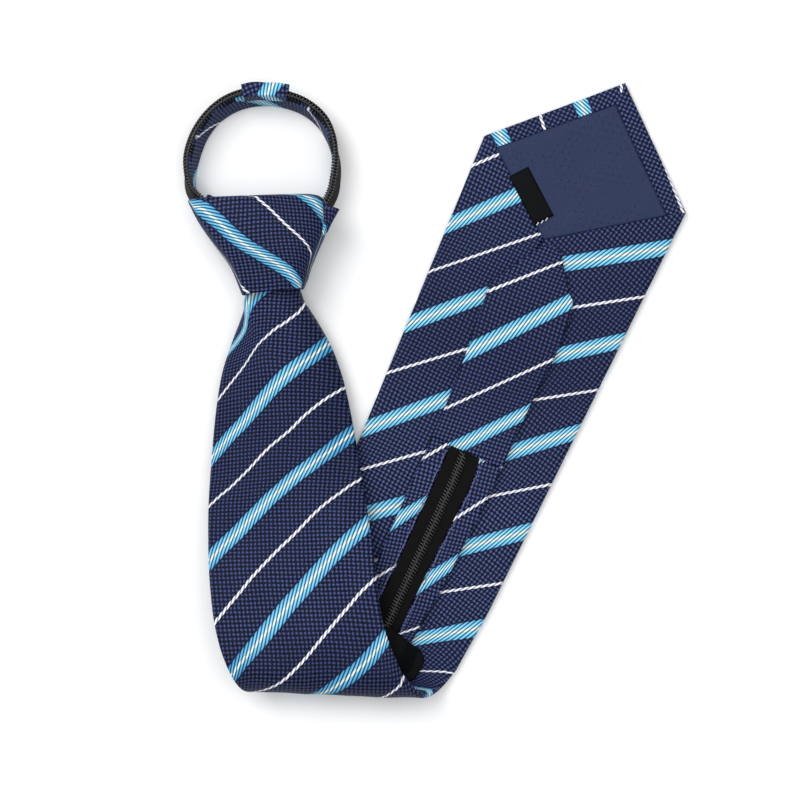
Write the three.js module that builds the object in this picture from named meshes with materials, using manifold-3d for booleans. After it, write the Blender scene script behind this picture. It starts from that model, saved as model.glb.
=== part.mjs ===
// Pre-tied zipper tie, lying on its back with the long blade folded under itself.
// Millimetres, +Z up. The knot and the neck loop lie at the left, the blade's tip points up and right.
import * as THREE from 'three';
import { mergeVertices } from 'three/addons/utils/BufferGeometryUtils.js';
import Module from 'manifold-3d';

const wasm = await Module();
wasm.setup();

// Clearances
const gap = 0.3;                 // between neighbouring pieces

// Wide blade
const bladeLength = 250;         // from the tip to the start of the fold, on the centre line
const bladeWidth = 83.2;         // across the shoulders of the tip
const bladeThickness = 3.0;
const bladeTaper = 1.8;          // degrees that each edge closes in towards the knot
const tipHeight = 39.6;          // from the shoulders to the tip
const shoulderSkew = 2.7;        // the left shoulder sits this much further from the tip
const edgeRound = 1.6;           // width of the rounded edge
const seamWidth = 2.4;           // groove where the two flaps meet on the back
const seamDepth = 0.7;
const seamOffset = -5;           // the seam lies left of the centre line

// Lining, seen in the kite between the hem and the two flaps
const hemLeft = 6.3;
const hemRight = 7.3;
const kiteLength = 70;           // from the blade's tip to the point where the flaps meet
const kiteDepth = 1.1;
const liningThickness = 0.5;

// Care label in the left seam of the lining
const labelLength = 21.4;
const labelReach = 7.8;
const labelThickness = 0.4;
const labelStart = 12.5;         // from the lining's left corner along the flap

// How the tie lies
const lieAngle = 22.5;           // degrees from the fold's normal to the back part's centre line
const foldRadius = 7.5;          // inside radius of the fold
const frontLength = 144;         // from the fold up to the mouth of the knot
const dipHeight = 12.3;          // middle of the front part where it sags lowest
const sideDroop = 6;             // how far the front part's edges hang at most
const laySlope = 2;              // degrees that the whole tie is turned clockwise

// Tail
const tailWidth = 34;            // across its shoulders
const tailThickness = 2.4;
const tailStart = 70.5;          // its tip, from the blade's tip
const tailTipHeight = 21;
const tailSkew = 5;
const tailSlotDepth = 1.2;

// Zip
const tapeThickness = 0.5;
const zipWidth = 12.4;           // both tapes together
const zipCentre = 2.0;           // right of the blade's centre line
const zipStart = 157.5;          // from the blade's tip
const chainWidth = 4.3;
const chainHeight = 1.7;
const toothPitch = 1.235;
const toothDepth = 0.5;

// Keeper band across the back
const keeperWidth = 13;
const keeperStart = 235;         // its near edge, from the blade's tip
const keeperThickness = 0.8;
const keeperLeft = 17;           // reach left and right of the centre line
const keeperRight = 20.3;

// Knot
const knotHeight = 37;
const knotWidth = 57.7;
const knotThickness = 24;
const knotTurn = 8;              // degrees that it leans left of the fold's normal
const neckHeight = 13.5;         // middle of the blade where it enters the knot
const neckThickness = 7;         // the blade is gathered there
const neckTuck = 6;              // how far the blade reaches into the knot
const underTurnThickness = 4.2;
const underTurnHeight = 14.3;    // its underside above the surface

// Neck loop
const loopWidth = 60.3;
const loopReach = 39.4;          // above the knot
const stripHeight = 13.5;
const neckTapeThickness = 0.8;
const bandHeight = 9.5;
const bandThickness = 1.6;       // at its upper edge; the foot flares
const coilWidth = 2.0;
const coilHeight = 2.4;
const coverLength = 18.3;
const coverWall = 0.9;
const coverDepth = 5;            // how far the cover comes down inside the loop

const degrees = Math.PI / 180;

// Small helpers
const lerp = (a, b, share) => a + (b - a) * share;
const smooth = (share) => {
  const s = Math.min(1, Math.max(0, share));
  return s * s * (3 - 2 * s);
};

// Smooth curve through a table's rows: column y over column x
function curveThrough(rows, x, y) {
  const slope = rows.map((row, i) => {
    const before = rows[Math.max(0, i - 1)];
    const after = rows[Math.min(rows.length - 1, i + 1)];
    return (after[y] - before[y]) / (after[x] - before[x]);
  });
  return (at) => {
    let i = rows.findIndex((row) => row[x] > at) - 1;
    if (i === -2) i = rows.length - 2;
    if (i === -1) i = 0;
    const span = rows[i + 1][x] - rows[i][x];
    const t = (at - rows[i][x]) / span;
    if (t <= 0) return rows[i][y] + slope[i] * t * span;
    if (t >= 1) return rows[i + 1][y] + slope[i + 1] * (t - 1) * span;
    const t2 = t * t;
    const t3 = t2 * t;
    return (2 * t3 - 3 * t2 + 1) * rows[i][y] + (t3 - 2 * t2 + t) * span * slope[i]
      + (3 * t2 - 2 * t3) * rows[i + 1][y] + (t3 - t2) * span * slope[i + 1];
  };
}

// Straight line between two points [x, y], read at y
function lineAt(a, b, y) {
  return lerp(a[0], b[0], (y - a[1]) / (b[1] - a[1]));
}

// Closed body lofted through closed loops of equal length, with triangulated ends
function loft(loops, capTriangles) {
  const count = loops[0].length;
  const positions = loops.flat(2);
  const index = [];
  for (let row = 0; row + 1 < loops.length; row += 1) {
    for (let i = 0; i < count; i += 1) {
      const j = (i + 1) % count;
      const a = row * count;
      const b = a + count;
      index.push(a + i, a + j, b + j, a + i, b + j, b + i);
    }
  }
  const last = (loops.length - 1) * count;
  for (const [i, j, k] of capTriangles) {
    index.push(i, k, j, last + i, last + j, last + k);
  }
  const geometry = new THREE.BufferGeometry();
  geometry.setAttribute('position', new THREE.Float32BufferAttribute(positions, 3));
  geometry.setIndex(index);
  if (signedVolume(geometry) < 0) {
    for (let i = 0; i < index.length; i += 3) {
      [index[i + 1], index[i + 2]] = [index[i + 2], index[i + 1]];
    }
    geometry.setIndex(index);
  }
  return geometry;
}

function signedVolume(geometry) {
  const p = geometry.getAttribute('position');
  const index = geometry.getIndex();
  const [a, b, c] = [new THREE.Vector3(), new THREE.Vector3(), new THREE.Vector3()];
  let sum = 0;
  for (let i = 0; i < index.count; i += 3) {
    a.fromBufferAttribute(p, index.getX(i));
    b.fromBufferAttribute(p, index.getX(i + 1));
    c.fromBufferAttribute(p, index.getX(i + 2));
    sum += a.dot(b.cross(c));
  }
  return sum / 6;
}

// Ends of a loop made of an upper row and the lower row walked back: quads between the rows
function stripCap(across) {
  const triangles = [];
  const last = 2 * across - 1;
  for (let i = 0; i + 1 < across; i += 1) {
    triangles.push([i, i + 1, last - i - 1], [i, last - i - 1, last - i]);
  }
  return triangles;
}

function polygonCap(polygon) {
  const points = polygon.map(([x, y]) => new THREE.Vector2(x, y));
  const triangles = THREE.ShapeUtils.triangulateShape(points, []);
  return THREE.ShapeUtils.isClockWise(points) ? triangles.map(([i, j, k]) => [i, k, j]) : triangles;
}

function toManifold(geometry) {
  const bare = geometry.clone();
  bare.deleteAttribute('normal');
  bare.deleteAttribute('uv');
  const merged = mergeVertices(bare, 1e-4);
  return new wasm.Manifold(new wasm.Mesh({
    numProp: 3,
    vertProperties: new Float32Array(merged.getAttribute('position').array),
    triVerts: new Uint32Array(merged.getIndex().array),
  }));
}

function fromManifold(solid) {
  const mesh = solid.getMesh();
  const geometry = new THREE.BufferGeometry();
  geometry.setAttribute('position', new THREE.Float32BufferAttribute(mesh.vertProperties, 3));
  geometry.setIndex(Array.from(mesh.triVerts));
  return geometry;
}

function cutBy(body, tools) {
  let solid = toManifold(body);
  for (const tool of tools) {
    solid = solid.subtract(toManifold(tool));
  }
  return fromManifold(solid);
}

// The fold. Sheets are drawn flat on a plane (side, along): along is 0 where the fold starts,
// negative on the back part, and positive through the fold and up the front part.
// Depth is measured from the middle of the blade towards the inside of the fold.
const middleRadius = foldRadius + bladeThickness / 2;
const foldArc = Math.PI * middleRadius;
const halfBlade = bladeThickness / 2;
const foldTop = halfBlade + 2 * middleRadius;

// Outline of the back part in the flat plane
const axis = [Math.sin(lieAngle * degrees), Math.cos(lieAngle * degrees)];

// A point by its distance from the blade's tip and its offset to the right of the centre line
function backPoint(fromTip, right) {
  const toFold = bladeLength - fromTip;
  return [axis[0] * toFold + axis[1] * right, -(axis[1] * toFold - axis[0] * right)];
}

const taper = Math.tan(bladeTaper * degrees);
const bladeTip = backPoint(0, 0);
const leftShoulder = backPoint(tipHeight + shoulderSkew, -bladeWidth / 2);
const rightShoulder = backPoint(tipHeight - shoulderSkew, bladeWidth / 2);
const leftFar = backPoint(bladeLength, -bladeWidth / 2 + (bladeLength - tipHeight - shoulderSkew) * taper);
const rightFar = backPoint(bladeLength, bladeWidth / 2 - (bladeLength - tipHeight + shoulderSkew) * taper);
const foldLeft = lineAt(leftShoulder, leftFar, 0);
const foldRight = lineAt(rightShoulder, rightFar, 0);
const foldHalf = (foldRight - foldLeft) / 2;

// Front part, from the fold up to the knot: climb, centre and tail are shares of the front's length
// or of the blade's half width at the fold; droop is a share of the side droop
const frontRows = [
  { climb: 0.00, centre: -0.128, half: 0.885, tail: 0.360, droop: 0.00 },
  { climb: 0.04, centre: -0.146, half: 0.880, tail: 0.360, droop: 0.02 },
  { climb: 0.10, centre: -0.168, half: 0.865, tail: 0.358, droop: 0.10 },
  { climb: 0.17, centre: -0.184, half: 0.855, tail: 0.355, droop: 0.20 },
  { climb: 0.27, centre: -0.198, half: 0.848, tail: 0.350, droop: 0.34 },
  { climb: 0.42, centre: -0.215, half: 0.812, tail: 0.340, droop: 0.50 },
  { climb: 0.55, centre: -0.227, half: 0.755, tail: 0.330, droop: 0.66 },
  { climb: 0.68, centre: -0.237, half: 0.690, tail: 0.320, droop: 0.86 },
  { climb: 0.78, centre: -0.244, half: 0.615, tail: 0.310, droop: 1.00 },
  { climb: 0.86, centre: -0.249, half: 0.510, tail: 0.290, droop: 1.00 },
  { climb: 0.93, centre: -0.258, half: 0.385, tail: 0.250, droop: 0.75 },
  { climb: 0.98, centre: -0.268, half: 0.290, tail: 0.225, droop: 0.40 },
  { climb: 1.00, centre: -0.270, half: 0.270, tail: 0.215, droop: 0.30 },
  { climb: 1.04, centre: -0.272, half: 0.260, tail: 0.210, droop: 0.25 },
];
const frontCentre = curveThrough(frontRows, 'climb', 'centre');
const frontHalf = curveThrough(frontRows, 'climb', 'half');
const frontTail = curveThrough(frontRows, 'climb', 'tail');
const frontDroop = curveThrough(frontRows, 'climb', 'droop');
const dipShare = 0.55;           // the sag is lowest at this share of the front's length
const gatherShare = 0.8;         // and from this share the blade gathers and thickens
const knotAlong = foldArc + frontLength;
const tuckAlong = knotAlong + neckTuck;

const centreSide = (along) => frontLength * frontCentre((along - foldArc) / frontLength);

function edgeSides(along) {
  if (along < 0) {
    const left = along < leftShoulder[1] ? lineAt(bladeTip, leftShoulder, along)
      : lineAt(leftShoulder, leftFar, along);
    const right = along < rightShoulder[1] ? lineAt(bladeTip, rightShoulder, along)
      : lineAt(rightShoulder, rightFar, along);
    return [left, right];
  }
  const top = frontLength * frontCentre(0);
  const topHalf = foldHalf * frontHalf(0);
  if (along < foldArc) {
    const share = along / foldArc;
    return [lerp(foldLeft, top - topHalf, share), lerp(foldRight, top + topHalf, share)];
  }
  const half = foldHalf * frontHalf((along - foldArc) / frontLength);
  return [centreSide(along) - half, centreSide(along) + half];
}

function frontRise(climb) {
  if (climb < dipShare) {
    return lerp(foldTop, dipHeight, smooth(climb / dipShare));
  }
  return lerp(dipHeight, neckHeight, smooth((climb - dipShare) / (1 - dipShare)));
}

// Where a point of the flat plane lies on the folded tie
function folded(side, along, depth) {
  if (along <= 0) {
    return [side, -along, halfBlade + depth];
  }
  if (along < foldArc) {
    const turn = along / middleRadius;
    const radius = middleRadius - depth;
    return [side, -radius * Math.sin(turn), halfBlade + middleRadius - radius * Math.cos(turn)];
  }
  const climb = (along - foldArc) / frontLength;
  const half = foldHalf * frontHalf(climb);
  const off = Math.min(1.2, Math.abs(side - centreSide(along)) / half);
  const droop = sideDroop * frontDroop(climb) * off ** 2.2;
  return [side, along - foldArc, frontRise(climb) - droop - depth];
}

function bladeHalfThickness(along) {
  const gather = smooth(((along - foldArc) / frontLength - gatherShare) / (1 - gatherShare));
  return lerp(bladeThickness, neckThickness, gather) / 2;
}

// Rows of a sheet: even steps between the marks, and the marks themselves
function rowsBetween(marks, step) {
  const rows = [];
  for (let i = 0; i + 1 < marks.length; i += 1) {
    const parts = Math.max(1, Math.ceil((marks[i + 1] - marks[i]) / step[i]));
    for (let part = 0; part < parts; part += 1) {
      rows.push(lerp(marks[i], marks[i + 1], part / parts));
    }
  }
  rows.push(marks[marks.length - 1]);
  return rows;
}

// A sheet between two edges, with its outer and inner faces at two depths; grow widens it all round
function sheet({ rows, edges, outer, inner, grow = 0, round = edgeRound, inside = [] }) {
  const rim = round > 0 ? [0, 0.35, 1] : [0];
  const full = round > 0 ? [0.35, 0.8, 1] : [1];
  const loops = rows.map((along) => {
    let [left, right] = edges(along);
    left -= grow;
    right += grow;
    const width = right - left;
    const rounded = Math.min(round, width / 3);
    const shares = [
      ...rim.map((share) => share * rounded / width),
      ...inside.map((share) => lerp(rounded, width - rounded, share) / width),
      ...rim.map((share) => 1 - share * rounded / width).reverse(),
    ];
    const swell = [...full, ...inside.map(() => 1), ...full.slice().reverse()];
    const out = outer(along) - grow;
    const into = inner(along) + grow;
    const middle = (out + into) / 2;
    const face = (depth) => shares.map((share, i) => {
      const side = lerp(left, right, share);
      return folded(side, along, lerp(middle, depth(side, along), swell[i]));
    });
    return [...face(() => out), ...face((side) => into - groove(side, along, inner)).reverse()];
  });
  return loft(loops, stripCap(inside.length + 2 * rim.length));
}

// The shallow seam where the flaps meet, on the inner face of the wide blade only
function groove(side, along, inner) {
  if (inner !== bladeInner) return 0;
  const [left, right] = edgeSides(along);
  const middle = (left + right) / 2 + seamOffset;
  const off = Math.abs(side - middle) / (seamWidth / 2);
  return seamDepth * Math.max(0, 1 - off);
}

const bladeOuter = (along) => -bladeHalfThickness(along);
const bladeInner = (along) => bladeHalfThickness(along);

function bladeSheet(from, to, grow) {
  const marks = [from, leftShoulder[1], rightShoulder[1], 0, foldArc, to].filter((at) => at >= from);
  const steps = marks.length > 3 ? [14, 14, 40, 2.2, 6] : [3, 3];
  const seamShare = 0.5 + seamOffset / (foldHalf * 2);
  const seamPart = seamWidth / (foldHalf * 4);
  return sheet({
    rows: rowsBetween(marks, steps),
    edges: edgeSides,
    outer: bladeOuter,
    inner: bladeInner,
    grow,
    inside: [0.14, 0.28, seamShare - seamPart, seamShare, seamShare + seamPart, 0.66, 0.84],
  });
}

// Tip of the blade: the kite between the hem and the flaps, in distances from the tip and centre line
function offsetLine(from, to, by) {
  const length = Math.hypot(to[0] - from[0], to[1] - from[1]);
  const normal = [-(to[1] - from[1]) / length * by, (to[0] - from[0]) / length * by];
  return [[from[0] + normal[0], from[1] + normal[1]], [to[0] + normal[0], to[1] + normal[1]]];
}

function crossing([a, b], [c, d]) {
  const r = [b[0] - a[0], b[1] - a[1]];
  const s = [d[0] - c[0], d[1] - c[1]];
  const share = ((c[0] - a[0]) * s[1] - (c[1] - a[1]) * s[0]) / (r[0] * s[1] - r[1] * s[0]);
  return [a[0] + r[0] * share, a[1] + r[1] * share];
}

const leftHem = offsetLine(bladeTip, leftShoulder, -hemLeft);
const rightHem = offsetLine(bladeTip, rightShoulder, hemRight);
const kiteTop = crossing(leftHem, rightHem);
const kiteBottom = backPoint(kiteLength, seamOffset);
const sideInset = 4.4;           // the flaps' corners lie this far inside the blade's edges
const leftEdgeIn = offsetLine(leftShoulder, leftFar, -sideInset);
const rightEdgeIn = offsetLine(rightShoulder, rightFar, sideInset);
const kiteLeft = crossing(leftHem, leftEdgeIn);
const kiteRight = crossing(rightHem, rightEdgeIn);
const kite = [kiteTop, kiteRight, kiteBottom, kiteLeft];

// Flat plate on the back part, drawn in the flat plane
function plate(points, low, high) {
  const shape = new THREE.Shape(points.map(([side, along]) => new THREE.Vector2(side, -along)));
  const geometry = new THREE.ExtrudeGeometry(shape, { depth: high - low, bevelEnabled: false });
  geometry.translate(0, 0, low);
  return geometry;
}

// A polygon drawn in by a distance on every side
function inset(points, by) {
  const clockwise = THREE.ShapeUtils.isClockWise(points.map(([x, y]) => new THREE.Vector2(x, y)));
  const inward = clockwise ? -by : by;
  return points.map((point, i) => {
    const before = points[(i + points.length - 1) % points.length];
    const after = points[(i + 1) % points.length];
    return crossing(offsetLine(before, point, inward), offsetLine(point, after, inward));
  });
}

const kiteFloor = bladeThickness - kiteDepth;
const liningLow = kiteFloor + gap;
const liningHigh = liningLow + liningThickness;

function labelOutline() {
  const along = [kiteBottom[0] - kiteLeft[0], kiteBottom[1] - kiteLeft[1]];
  const length = Math.hypot(along[0], along[1]);
  const unit = [along[0] / length, along[1] / length];
  const across = [-unit[1], unit[0]];
  const sign = Math.sign(across[0] * (kiteTop[0] - kiteLeft[0]) + across[1] * (kiteTop[1] - kiteLeft[1]));
  const point = (start, reach) => [
    kiteLeft[0] + unit[0] * start + sign * across[0] * reach,
    kiteLeft[1] + unit[1] * start + sign * across[1] * reach,
  ];
  return [
    point(labelStart, gap),
    point(labelStart + labelLength, gap),
    point(labelStart + labelLength, labelReach),
    point(labelStart, labelReach),
  ];
}

// Tail
const tailOutline = {
  tip: backPoint(tailStart, -tailWidth * 0.126),
  leftShoulder: backPoint(tailStart + tailTipHeight + tailSkew, -tailWidth * 0.482),
  leftWaist: backPoint(zipStart, -tailWidth * 0.33),
  leftFold: backPoint(bladeLength, -tailWidth * 0.32),
  rightShoulder: backPoint(tailStart + tailTipHeight - tailSkew, tailWidth * 0.518),
  rightWaist: backPoint(zipStart, tailWidth * 0.53),
  rightFold: backPoint(bladeLength, tailWidth * 0.43),
};

function alongPolyline(points, along) {
  let i = points.findIndex((point) => point[1] > along) - 1;
  if (i === -2) i = points.length - 2;
  return lineAt(points[Math.max(0, i)], points[Math.max(0, i) + 1], along);
}

function tailEdges(along) {
  const o = tailOutline;
  const left = [o.tip, o.leftShoulder, o.leftWaist, o.leftFold];
  const right = [o.tip, o.rightShoulder, o.rightWaist, o.rightFold];
  if (along < 0) {
    return [alongPolyline(left, along), alongPolyline(right, along)];
  }
  const foldStart = [alongPolyline(left, 0), alongPolyline(right, 0)];
  const top = frontLength * frontCentre(0);
  const topHalf = foldHalf * frontTail(0);
  if (along < foldArc) {
    const share = along / foldArc;
    return [lerp(foldStart[0], top - topHalf, share), lerp(foldStart[1], top + topHalf, share)];
  }
  const half = foldHalf * frontTail((along - foldArc) / frontLength);
  return [centreSide(along) - half, centreSide(along) + half];
}

// Under the gathered neck the tail lies deeper
const tailOuter = (along) => bladeHalfThickness(along) + gap;
const tailInner = (along) => tailOuter(along) + tailThickness;

function tailSheet(from, to, grow) {
  const marks = [from, tailOutline.rightShoulder[1], tailOutline.leftShoulder[1], tailOutline.leftWaist[1],
    0, foldArc, to].filter((at) => at >= from).sort((a, b) => a - b);
  const steps = marks.length > 3 ? [8, 8, 30, 30, 2.6, 7] : [3, 3];
  return sheet({
    rows: rowsBetween(marks, steps),
    edges: tailEdges,
    outer: tailOuter,
    inner: tailInner,
    grow,
    round: 1.2,
    inside: [0.25, 0.5, 0.75],
  });
}

// Zip, set into the tail's inner face and centred on its own line
function zipSide(along) {
  const start = backPoint(zipStart, zipCentre);
  const end = backPoint(bladeLength, zipCentre);
  if (along < 0) return lineAt(start, end, along);
  const atFold = lineAt(start, end, 0);
  const top = frontLength * frontCentre(0);
  return along < foldArc ? lerp(atFold, top, along / foldArc) : centreSide(along);
}

const zipTop = backPoint(zipStart, zipCentre)[1];
const zipSpread = 1 / Math.cos(lieAngle * degrees);      // widths read along the fold's line
const zipHalf = (along) => zipWidth / 2 * lerp(zipSpread, 1, smooth(along / foldArc));
const slotFloor = (along) => tailInner(along) - tailSlotDepth;
const tapeOuter = (along) => slotFloor(along) + gap;
const tapeInner = (along) => tapeOuter(along) + tapeThickness;
const chainOuter = (along) => tapeInner(along) + gap;

function zipRows(to) {
  return rowsBetween([zipTop + gap, 0, foldArc, to], [30, 2.6, 8]);
}

function tailSlot() {
  return sheet({
    rows: rowsBetween([zipTop, 0, foldArc, tuckAlong + 1], [30, 2.6, 8]),
    edges: (along) => [zipSide(along) - zipHalf(along), zipSide(along) + zipHalf(along)],
    outer: slotFloor,
    inner: (along) => tailInner(along) + 1,
    round: 0,
    inside: [0.5],
  });
}

function tapeSheet(hand, to) {
  const inner = gap / 2;
  return sheet({
    rows: zipRows(to),
    edges: (along) => {
      const near = zipSide(along) + hand * inner;
      const far = zipSide(along) + hand * (zipHalf(along) - gap);
      return hand > 0 ? [near, far] : [far, near];
    },
    outer: tapeOuter,
    inner: tapeInner,
    round: 0,
  });
}

// Closed coil: teeth where it shows, plain through the fold
function zipChain(to) {
  const half = toothPitch / 2;
  const teeth = Math.floor(-(zipTop + 1.5) / half);
  const rows = [];
  for (let i = 0; i <= teeth; i += 1) {
    rows.push({ along: zipTop + 1.5 + i * half, low: i % 2 === 1 });
  }
  for (const along of rowsBetween([0, foldArc, to], [2.6, 8])) {
    rows.push({ along: along + half, low: false });
  }
  const section = [[-0.5, 0], [-0.42, 0.75], [-0.16, 1], [0.16, 1], [0.42, 0.75], [0.5, 0]];
  const loops = rows.map(({ along, low }) => section.map(([across, up]) => {
    const width = chainWidth * (low ? 0.9 : 1);
    const height = chainHeight - (low ? toothDepth : 0);
    return folded(zipSide(along) + across * width * zipSpread, along, chainOuter(along) + up * height);
  }));
  return loft(loops, polygonCap(section));
}

// Keeper band: lies on the blade at both ends and rises over the tail and the coil
function keeperBand() {
  const onBlade = halfBlade + gap;
  const onTail = tailInner(0) + gap;
  const onChain = chainOuter(0) + chainHeight + gap;
  const chainHalf = chainWidth / 2;
  const left = tailWidth * 0.34;
  const right = tailWidth * 0.5;
  const profile = [
    [-keeperLeft, onBlade], [-left - 2.2, onBlade], [-left, onTail], [zipCentre - chainHalf - 1.6, onTail],
    [zipCentre - chainHalf, onChain], [zipCentre + chainHalf, onChain],
    [zipCentre + chainHalf + 1.6, onTail], [right, onTail], [right + 1.9, onBlade], [keeperRight, onBlade],
  ];
  const rows = rowsBetween([keeperStart, keeperStart + keeperWidth], [3]);
  const loops = rows.map((fromTip) => {
    const face = (extra) => profile.map(([right_, depth]) => {
      const [side, along] = backPoint(fromTip, right_);
      return folded(side, along, depth + extra);
    });
    return [...face(0), ...face(keeperThickness).reverse()];
  });
  return loft(loops, stripCap(profile.length));
}

// Knot, drawn in its own frame: across to the right and up towards the neck
const knotFoot = folded(centreSide(knotAlong), knotAlong, 0);
const knotAcross = [Math.cos(knotTurn * degrees), Math.sin(knotTurn * degrees)];

function knotPoint(across, up, z) {
  return [
    knotFoot[0] + knotAcross[0] * across - knotAcross[1] * up,
    knotFoot[1] + knotAcross[1] * across + knotAcross[0] * up,
    z,
  ];
}

// Rows up the knot: edges in shares of its width, front and back in shares of its thickness
const knotRows = [
  { up: 0.00, left: -0.190, right: 0.190, back: 0.16, front: 0.86, slant: 0.00 },
  { up: 0.10, left: -0.213, right: 0.244, back: 0.06, front: 0.90, slant: 0.00 },
  { up: 0.22, left: -0.240, right: 0.282, back: 0.00, front: 0.93, slant: 0.00 },
  { up: 0.34, left: -0.272, right: 0.322, back: 0.00, front: 0.96, slant: 0.01 },
  { up: 0.56, left: -0.352, right: 0.395, back: 0.00, front: 0.99, slant: 0.03 },
  { up: 0.77, left: -0.420, right: 0.418, back: 0.00, front: 1.00, slant: 0.05 },
  { up: 0.92, left: -0.458, right: 0.408, back: 0.00, front: 0.98, slant: 0.07 },
  { up: 0.98, left: -0.468, right: 0.375, back: 0.03, front: 0.93, slant: 0.07 },
  { up: 1.00, left: -0.440, right: 0.330, back: 0.12, front: 0.84, slant: 0.07 },
];

function knotBody() {
  const sides = 20;
  const loops = knotRows.map((row) => {
    const loop = [];
    for (let i = 0; i < sides; i += 1) {
      const turn = (i / sides) * 2 * Math.PI;
      const squarer = 0.62;
      const x = Math.sign(Math.cos(turn)) * Math.abs(Math.cos(turn)) ** squarer;
      const y = Math.sign(Math.sin(turn)) * Math.abs(Math.sin(turn)) ** squarer;
      const across = knotWidth * lerp(row.left, row.right, (x + 1) / 2);
      const z = knotThickness * lerp(row.back, row.front, (y + 1) / 2);
      loop.push(knotPoint(across, knotHeight * row.up - row.slant * across, z));
    }
    return loop;
  });
  const ring = Array.from({ length: sides }, (_, i) => {
    const turn = (i / sides) * 2 * Math.PI;
    return [Math.cos(turn), Math.sin(turn)];
  });
  return loft(loops, polygonCap(ring));
}

// The under turn: a band through the knot, out at its top left corner and as a wing at its right
const underTurnCorners = [
  [-0.397, 0.99], [-0.355, 1.068], [-0.25, 0.96], [0.17, 0.90], [0.418, 0.86],
  [0.504, 0.735], [0.43, 0.546], [0.14, 0.65], [-0.24, 0.84],
];

function underTurn(grow) {
  const corners = underTurnCorners.map(([across, up]) => [across * knotWidth, up * knotHeight]);
  const drawn = grow ? inset(corners, -grow) : corners;
  const loops = [-grow, underTurnThickness + grow].map((rise) => (
    drawn.map(([across, up]) => knotPoint(across, up, underTurnHeight + rise))
  ));
  return loft(loops, polygonCap(drawn));
}

// Neck loop: the foot of the tapes on the surface, in shares of the loop's width and reach from the
// middle of the knot's top; lean is in degrees outwards; flare is the band's foot in millimetres
const loopMiddle = 0.85;
const loopFoot = 36;
const loopRows = [
  { across: -0.340, up: -0.14, lean: -14, flare: 2.4 },
  { across: -0.430, up: 0.000, lean: -14, flare: 2.8 },
  { across: -0.485, up: 0.115, lean: -12, flare: 3.2 },
  { across: -0.500, up: 0.225, lean: -8, flare: 3.6 },
  { across: -0.490, up: 0.340, lean: -3, flare: 3.8 },
  { across: -0.462, up: 0.460, lean: 4, flare: 3.6 },
  { across: -0.422, up: 0.585, lean: 8, flare: 3.3 },
  { across: -0.372, up: 0.715, lean: 9, flare: 3.2 },
  { across: -0.291, up: 0.850, lean: 10, flare: 3.1 },
  { across: -0.190, up: 0.945, lean: 12, flare: 3.0 },
  { across: -0.080, up: 0.995, lean: 13, flare: 2.9 },
  { across: 0.041, up: 1.000, lean: 13, flare: 2.7 },
  { across: 0.180, up: 0.955, lean: 12, flare: 2.5 },
  { across: 0.310, up: 0.855, lean: 12, flare: 2.3 },
  { across: 0.410, up: 0.700, lean: 11, flare: 2.1 },
  { across: 0.465, up: 0.530, lean: 6, flare: 2.0 },
  { across: 0.492, up: 0.390, lean: 0, flare: 2.0 },
  { across: 0.499, up: 0.270, lean: -5, flare: 2.0 },
  { across: 0.488, up: 0.130, lean: -8, flare: 2.0 },
  { across: 0.460, up: -0.020, lean: -10, flare: 2.0 },
  { across: 0.400, up: -0.150, lean: -10, flare: 1.8 },
  { across: 0.320, up: -0.230, lean: -10, flare: 1.8 },
];

const loopCurve = new THREE.CatmullRomCurve3(loopRows.map(({ across, up }) => {
  const [x, y] = knotPoint(across * loopWidth + loopMiddle, loopFoot + up * loopReach, 0);
  return new THREE.Vector3(x, y, 0);
}));
const loopLength = loopCurve.getLength();
const napeShare = 11 / (loopRows.length - 1);
const loopShares = loopRows.map((row, i) => ({ ...row, share: i / (loopRows.length - 1) }));
const loopLean = curveThrough(loopShares, 'share', 'lean');
const loopFlare = curveThrough(loopShares, 'share', 'flare');

// A point on the standing strip: out from the tapes' inner face, and up the strip
function stripPoint(share, out, height) {
  const foot = loopCurve.getPoint(share);
  const run = loopCurve.getTangent(share);
  const outward = new THREE.Vector3(-run.y, run.x, 0);
  const lean = loopLean(share) * degrees;
  const reach = out + height * Math.sin(lean);
  return [foot.x + outward.x * reach, foot.y + outward.y * reach, height * Math.cos(lean)];
}

function sweepStrip(shares, sectionAt) {
  const loops = shares.map((share, i) => (
    sectionAt(share, i).map(([out, height]) => stripPoint(share, out, height))
  ));
  return loft(loops, polygonCap(sectionAt(shares[0], 0)));
}

const loopSteps = (from, to, count) => (
  Array.from({ length: count + 1 }, (_, i) => lerp(from, to, i / count))
);

const tapeBreak = gap / loopLength;                   // the two tapes stop short of each other at the nape
const stripEnd = 2 * gap / loopLength;                // room past each end of the strip in its pocket

function neckBand() {
  return sweepStrip(loopSteps(stripEnd, 1 - stripEnd, 56), (share) => [
    [-gap, 0], [-gap, bandHeight], [-gap - bandThickness, bandHeight], [-loopFlare(share), 0.6],
    [-loopFlare(share) + 0.6, 0],
  ]);
}


function neckTape(from, to) {
  return sweepStrip(loopSteps(from, to, 30), () => [
    [0, 0], [neckTapeThickness, 0], [neckTapeThickness, stripHeight], [0, stripHeight],
  ]);
}

function neckCoil(from, to) {
  const halfPitches = 2 * Math.floor(loopLength * (to - from) / toothPitch);
  return sweepStrip(loopSteps(from, to, halfPitches), (share, i) => {
    const low = i % 2 === 1 ? toothDepth : 0;
    return [
      [-gap, stripHeight - coilHeight], [-gap, stripHeight - low],
      [-gap - coilWidth + low, stripHeight - low], [-gap - coilWidth + low, stripHeight - coilHeight],
    ];
  });
}

// Sleeve over the top of the strip, open below
function napeCover() {
  const half = coverLength / loopLength / 2;
  const out = neckTapeThickness + gap;
  const into = -gap - coilWidth - gap;
  const top = stripHeight + gap;
  return sweepStrip(loopSteps(napeShare - half, napeShare + half, 8), () => [
    [out, 0.6], [out + coverWall, 0.6], [out + coverWall, top + coverWall], [into - coverWall, top + coverWall],
    [into - coverWall, top - coverDepth], [into, top - coverDepth], [into, top], [out, top],
  ]);
}

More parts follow.
